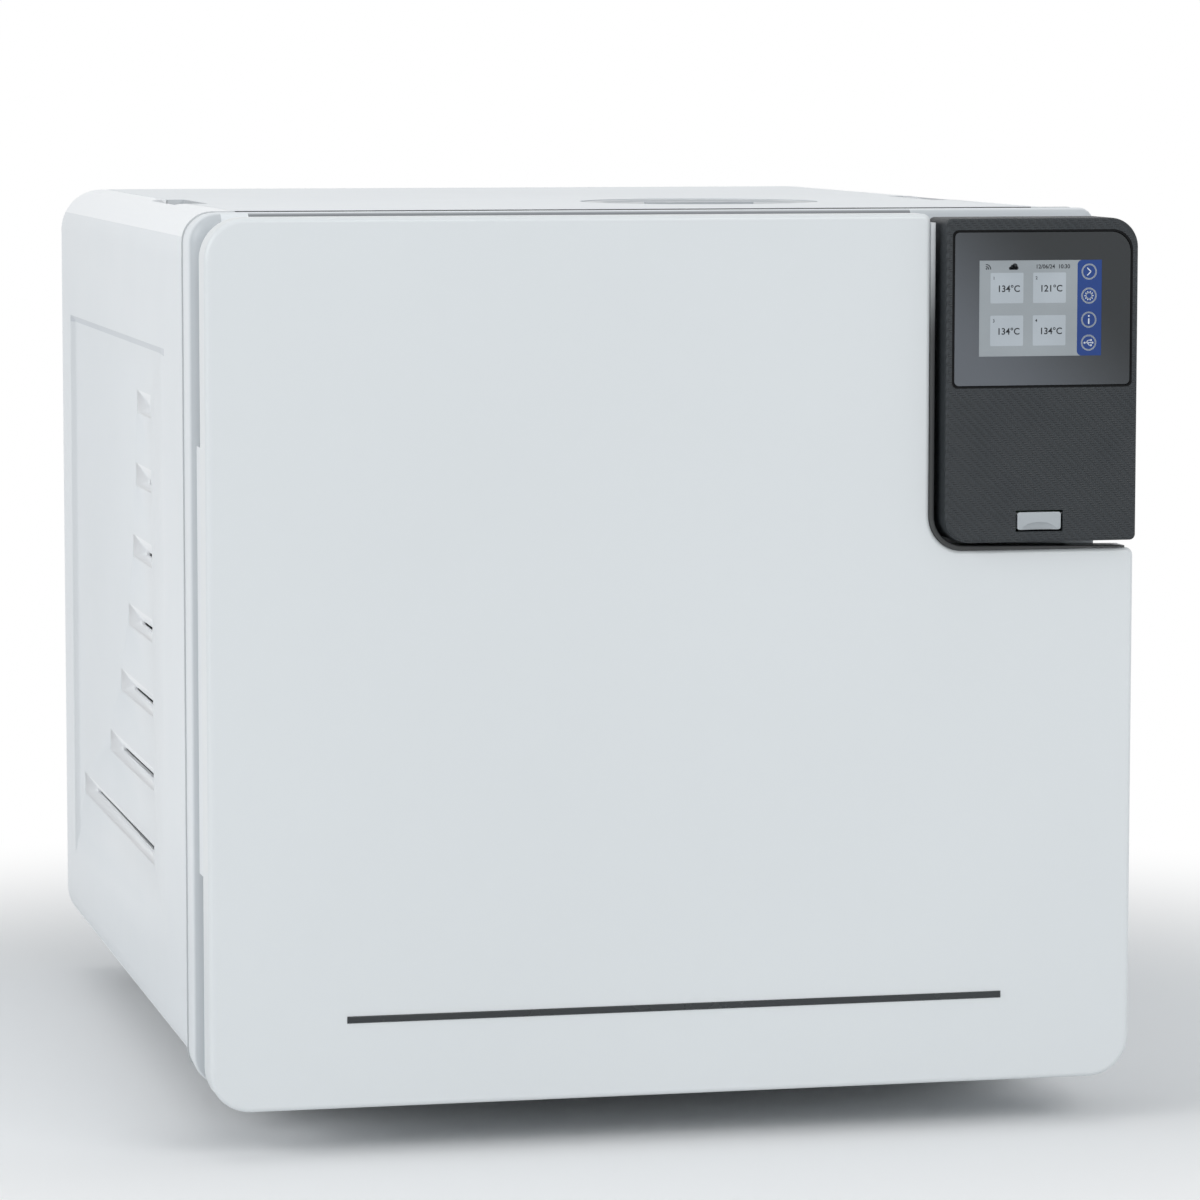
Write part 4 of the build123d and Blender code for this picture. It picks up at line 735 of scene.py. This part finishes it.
def cut_by(body, tool):
    """Takes the tool away from the body and returns the rest as a bmesh; both objects are used up."""
    cutter = body.modifiers.new("cut", "BOOLEAN")
    cutter.operation = "DIFFERENCE"
    cutter.solver = "EXACT"
    cutter.object = tool
    bpy.context.view_layer.update()
    done = body.evaluated_get(bpy.context.evaluated_depsgraph_get()).to_mesh()
    mesh = bmesh.new()
    mesh.from_mesh(done)
    body.evaluated_get(bpy.context.evaluated_depsgraph_get()).to_mesh_clear()
    for holder in (body, tool):
        data = holder.data
        bpy.data.objects.remove(holder)
        bpy.data.meshes.remove(data)
    return mesh


def make_cut_shade_strip():
    """Dark grey strip on the door's cut for the panel, thinner towards its right end, painted as the shade in the gap
    round the panel.
    """
    low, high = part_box("door_cover")
    x1 = high.x - SHADE_STRIP_SHORT
    z1 = high.z - SHADE_STRIP_SHORT
    front = low.y + SHADE_STRIP_FRONT
    outer = (CUT_X, CUT_Z)
    inner = (CUT_X + SHADE_STRIP_W, CUT_Z + SHADE_STRIP_W)
    points = [(CUT_X, z1), outer, (x1, CUT_Z), (x1, CUT_Z + SHADE_STRIP_W_END), inner, (CUT_X + SHADE_STRIP_W, z1)]
    mesh = bmesh.new()
    mesh.faces.new([mesh.verts.new((x, front, z)) for x, z in points])
    round_corners(mesh, [outer, inner], [CUT_R, CUT_R - SHADE_STRIP_W], 12)
    thicken(mesh, SHADE_STRIP_DEPTH)
    rim = [e for e in mesh.edges if all(abs(v.co.y - front) < 1e-6 for v in e.verts)]
    soften(mesh, rim, 0.5 * MM, 3)
    piece_from(mesh, "cut_shade_strip", "door", "cut_shade")


def copy_of(node):
    """The node's own shape as a closed bmesh."""
    mesh = bmesh.new()
    mesh.from_mesh(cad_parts[node].data)
    bmesh.ops.remove_doubles(mesh, verts=mesh.verts, dist=0.000005)
    return mesh


def lip_radius(x, z):
    """Radius of the frame's outline at the corner nearest to a place, from the frame's middle."""
    if z < 0:
        return LIP_RADII[0] if x < 0 else LIP_RADII[1]
    return LIP_RADII[3] if x < 0 else LIP_RADII[2]


def make_frame():
    """Front frame whose rim tapers in a little where it meets the side mouldings and the top cover, with strips of
    painted shade in these seams.
    """
    mesh = copy_of("front_frame")
    low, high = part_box("front_frame")
    middle = (low + high) / 2
    half = (high - low) / 2
    for vert in mesh.verts:
        x = vert.co.x - middle.x
        z = vert.co.z - middle.z
        radius = lip_radius(x, z)
        from_corner = math.hypot(max(abs(x) - half.x + radius, 0), max(abs(z) - half.z + radius, 0))
        if from_corner > radius - 0.3 * MM and vert.co.y > high.y - 0.2 * MM:
            vert.co.x = middle.x + x * (1 - SEAM_STEP / half.x)
            vert.co.z = middle.z + z * (1 - SEAM_STEP / half.z)
    piece_from(mesh, "front_moulding", "cabinet", "frame", ["front_frame"], crease=28)
    # Painted shade: a grey strip in the seams beside the side mouldings and a dark strip in the seam beside the top
    # cover
    for name, finish in (("side_seam_shade", "seam"), ("top_seam_shade", "dark")):
        shade_band = sheet_across_y(low.x + 0.1 * MM, high.x - 0.1 * MM, low.z + 0.1 * MM, high.z - 0.1 * MM,
                              high.y + SEAM_PLAY, LIP_RADII, 10)
        bmesh.ops.inset_region(shade_band, faces=shade_band.faces[:], thickness=SEAM_SHADE_W, use_even_offset=True,
                               use_boundary=True)
        bmesh.ops.delete(shade_band, geom=[max(shade_band.faces, key=lambda f: f.calc_area())], context="FACES")
        for x in (-SEAM_X, SEAM_X):
            split_mesh(shade_band, (x, 0, 0), (1, 0, 0))
        middles = {f: f.calc_center_median() for f in shade_band.faces}
        if name == "side_seam_shade":
            gone = [f for f, spot in middles.items() if abs(spot.x) < SEAM_X]
        else:
            gone = [f for f, spot in middles.items() if abs(spot.x) > SEAM_X or spot.z < middle.z]
        bmesh.ops.delete(shade_band, geom=gone, context="FACES")
        thicken(shade_band, SEAM - 2 * SEAM_PLAY)
        piece_from(shade_band, name, "cabinet", finish)


def make_side(side):
    """Side moulding that stops short of the front frame and of the top cover, so that its seams show."""
    node = side + "_side_panel"
    mesh = copy_of(node)
    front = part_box(node)[0].y + SEAM
    across = -1 if side == "left" else 1
    for point, normal in (((0, front, 0), (0, -1, 0)), ((across * SIDE_X, 0, 0), (-across, 0, 0))):
        cut = split_mesh(mesh, point, normal, keep_all=False)
        bmesh.ops.edgenet_fill(mesh, edges=[e for e in cut if isinstance(e, bmesh.types.BMEdge)])
    piece_from(mesh, side + "_moulding", "cabinet", "side", [node], crease=28)


def sheet_on_picture(x0, x1, down0, down1, layer, radii=(0, 0, 0, 0)):
    """Thin sheet on the picture, placed from its top left corner; layer counts from the back."""
    left, _, _, top = picture_box()
    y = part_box("display_glass")[0].y + PICTURE_BACK - layer * LAYER
    mesh = sheet_across_y(left + x0, left + x1, top - down1, top - down0, y, radii)
    thicken(mesh, LAYER)
    return mesh


def text_on_picture(words, height, x, down, layer):
    """Digits with their baseline at a place on the picture."""
    curve = bpy.data.curves.new("digits", "FONT")
    curve.body = words
    curve.size = height / 0.73
    curve.align_x = "CENTER"
    curve.extrude = LAYER / 2
    curve.offset = height * 0.024
    curve.resolution_u = 4
    holder = bpy.data.objects.new("digits", curve)
    data = bpy.data.meshes.new_from_object(holder)
    left, _, _, top = picture_box()
    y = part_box("display_glass")[0].y + PICTURE_BACK - (layer - 0.5) * LAYER
    data.transform(Matrix.Translation((left + x, y, top - down)) @ Matrix.Rotation(math.pi / 2, 4, "X"))
    mesh = bmesh.new()
    mesh.from_mesh(data)
    bpy.data.objects.remove(holder)
    bpy.data.curves.remove(curve)
    bpy.data.meshes.remove(data)
    return mesh


def stroke(points, width, layer):
    """Line of even width through places on the picture."""
    target = bmesh.new()
    for (x0, d0), (x1, d1) in zip(points, points[1:]):
        along = Vector((x1 - x0, 0, d0 - d1))
        mesh = sheet_on_picture(0, along.length + width, 0, width, layer, (width / 2.01,) * 4)
        left, _, _, top = picture_box()
        bmesh.ops.translate(mesh, verts=mesh.verts, vec=(-left - width / 2, 0, width / 2 - top))
        turn = Matrix.Rotation(-math.atan2(along.z, along.x), 4, "Y")
        bmesh.ops.transform(mesh, matrix=Matrix.Translation((left + x0, 0, top - d0)) @ turn, verts=mesh.verts)
        gather(target, mesh)
    return target


def arc_points(x, down, radius, start, end, steps):
    angles = [math.radians(start + (end - start) * i / steps) for i in range(steps + 1)]
    return [(x + radius * math.cos(a), down - radius * math.sin(a)) for a in angles]


def disc_on_picture(x, down, radius, layer):
    return sheet_on_picture(x - radius, x + radius, down - radius, down + radius, layer, (radius * 0.999,) * 4)


def make_picture():
    width = picture_box()[1] - picture_box()[0]
    height = picture_box()[3] - picture_box()[2]
    piece_from(sheet_on_picture(0, width, 0, height, 0), "screen_ground", "cabinet", "screen_ground")
    tiles = bmesh.new()
    for x, down in TILE_PLACES:
        gather(tiles, sheet_on_picture(x, x + TILE[0], down, down + TILE[1], 1, (0.6 * MM,) * 4))
    piece_from(tiles, "screen_tiles", "cabinet", "screen_tile")
    strip = sheet_on_picture(STRIP_START, width, 0, height, 1, (2.4 * MM, 0, 0, 2.4 * MM))
    piece_from(strip, "screen_strip", "cabinet", "screen_blue")
    digits = bmesh.new()
    for i, ((x, down), words) in enumerate(zip(TILE_PLACES, TILE_NUMBERS)):
        gather(digits, text_on_picture(words, 3.4 * MM, x + TILE[0] * 0.55, down + 9.6 * MM, 2))
        gather(digits, text_on_picture(str(i + 1), 1.6 * MM, x + 1.8 * MM, down + 3.4 * MM, 2))
    gather(digits, text_on_picture("12/06/24  10:30", 2.1 * MM, 38.8 * MM, 4.2 * MM, 2))
    for radius in (1.3, 2.4):
        gather(digits, stroke(arc_points(3.5 * MM, 4.4 * MM, radius * MM, 0, 90, 6), 0.45 * MM, 2))
    gather(digits, disc_on_picture(3.7 * MM, 4.2 * MM, 0.42 * MM, 2))
    for x, down, radius in ((16.3, 4.0, 0.8), (17.5, 3.4, 1.2), (18.7, 2.9, 1.4), (19.7, 3.9, 0.9)):
        gather(digits, disc_on_picture(x * MM, down * MM, radius * MM, 2))
    gather(digits, sheet_on_picture(16.2 * MM, 19.8 * MM, 3.8 * MM, 4.8 * MM, 2))
    piece_from(digits, "screen_digits", "cabinet", "screen_ink")
    icons = bmesh.new()
    for down in ICON_HEIGHTS:
        gather(icons, stroke(arc_points(ICON_X, down, ICON_R - 0.3 * MM, 0, 360, 32), 0.75 * MM, 2))
    play, gear, info, link = ICON_HEIGHTS
    arrow = ((-0.9, -1.8), (1.0, 0.0), (-0.9, 1.8))
    gather(icons, stroke([(ICON_X + x * MM, play + down * MM) for x, down in arrow], 0.5 * MM, 2))
    gather(icons, stroke(arc_points(ICON_X, gear, 1.55 * MM, 0, 360, 20), 0.5 * MM, 2))
    for i in range(10):
        angle = math.radians(36 * i)
        spoke = [(ICON_X + r * MM * math.cos(angle), gear + r * MM * math.sin(angle)) for r in (1.6, 2.2)]
        gather(icons, stroke(spoke, 0.5 * MM, 2))
    gather(icons, stroke([(ICON_X, info - 0.4 * MM), (ICON_X, info + 1.9 * MM)], 0.7 * MM, 2))
    gather(icons, disc_on_picture(ICON_X, info - 1.9 * MM, 0.45 * MM, 2))
    branches = (((-2.0, 0.0), (2.0, 0.0)), ((-1.2, 0.0), (-0.2, -1.3), (1.0, -1.3)),
                ((-0.6, 0.0), (0.3, 1.3), (1.0, 1.3)))
    for branch in branches:
        gather(icons, stroke([(ICON_X + x * MM, link + down * MM) for x, down in branch], 0.4 * MM, 2))
    for x, down in ((-2.1, 0), (2.1, 0), (1.3, -1.3), (1.3, 1.3)):
        gather(icons, disc_on_picture(ICON_X + x * MM, link + down * MM, 0.5 * MM, 2))
    piece_from(icons, "screen_icons", "cabinet", "screen_light")


make_camera()
make_studio()
make_floor()
finishes = make_finishes()
paint_nodes(finishes)
make_glass()
make_glass_gap_shade()
make_picture()
make_flap()
make_cut_shade_strip()
make_frame()
make_side("left")
make_side("right")
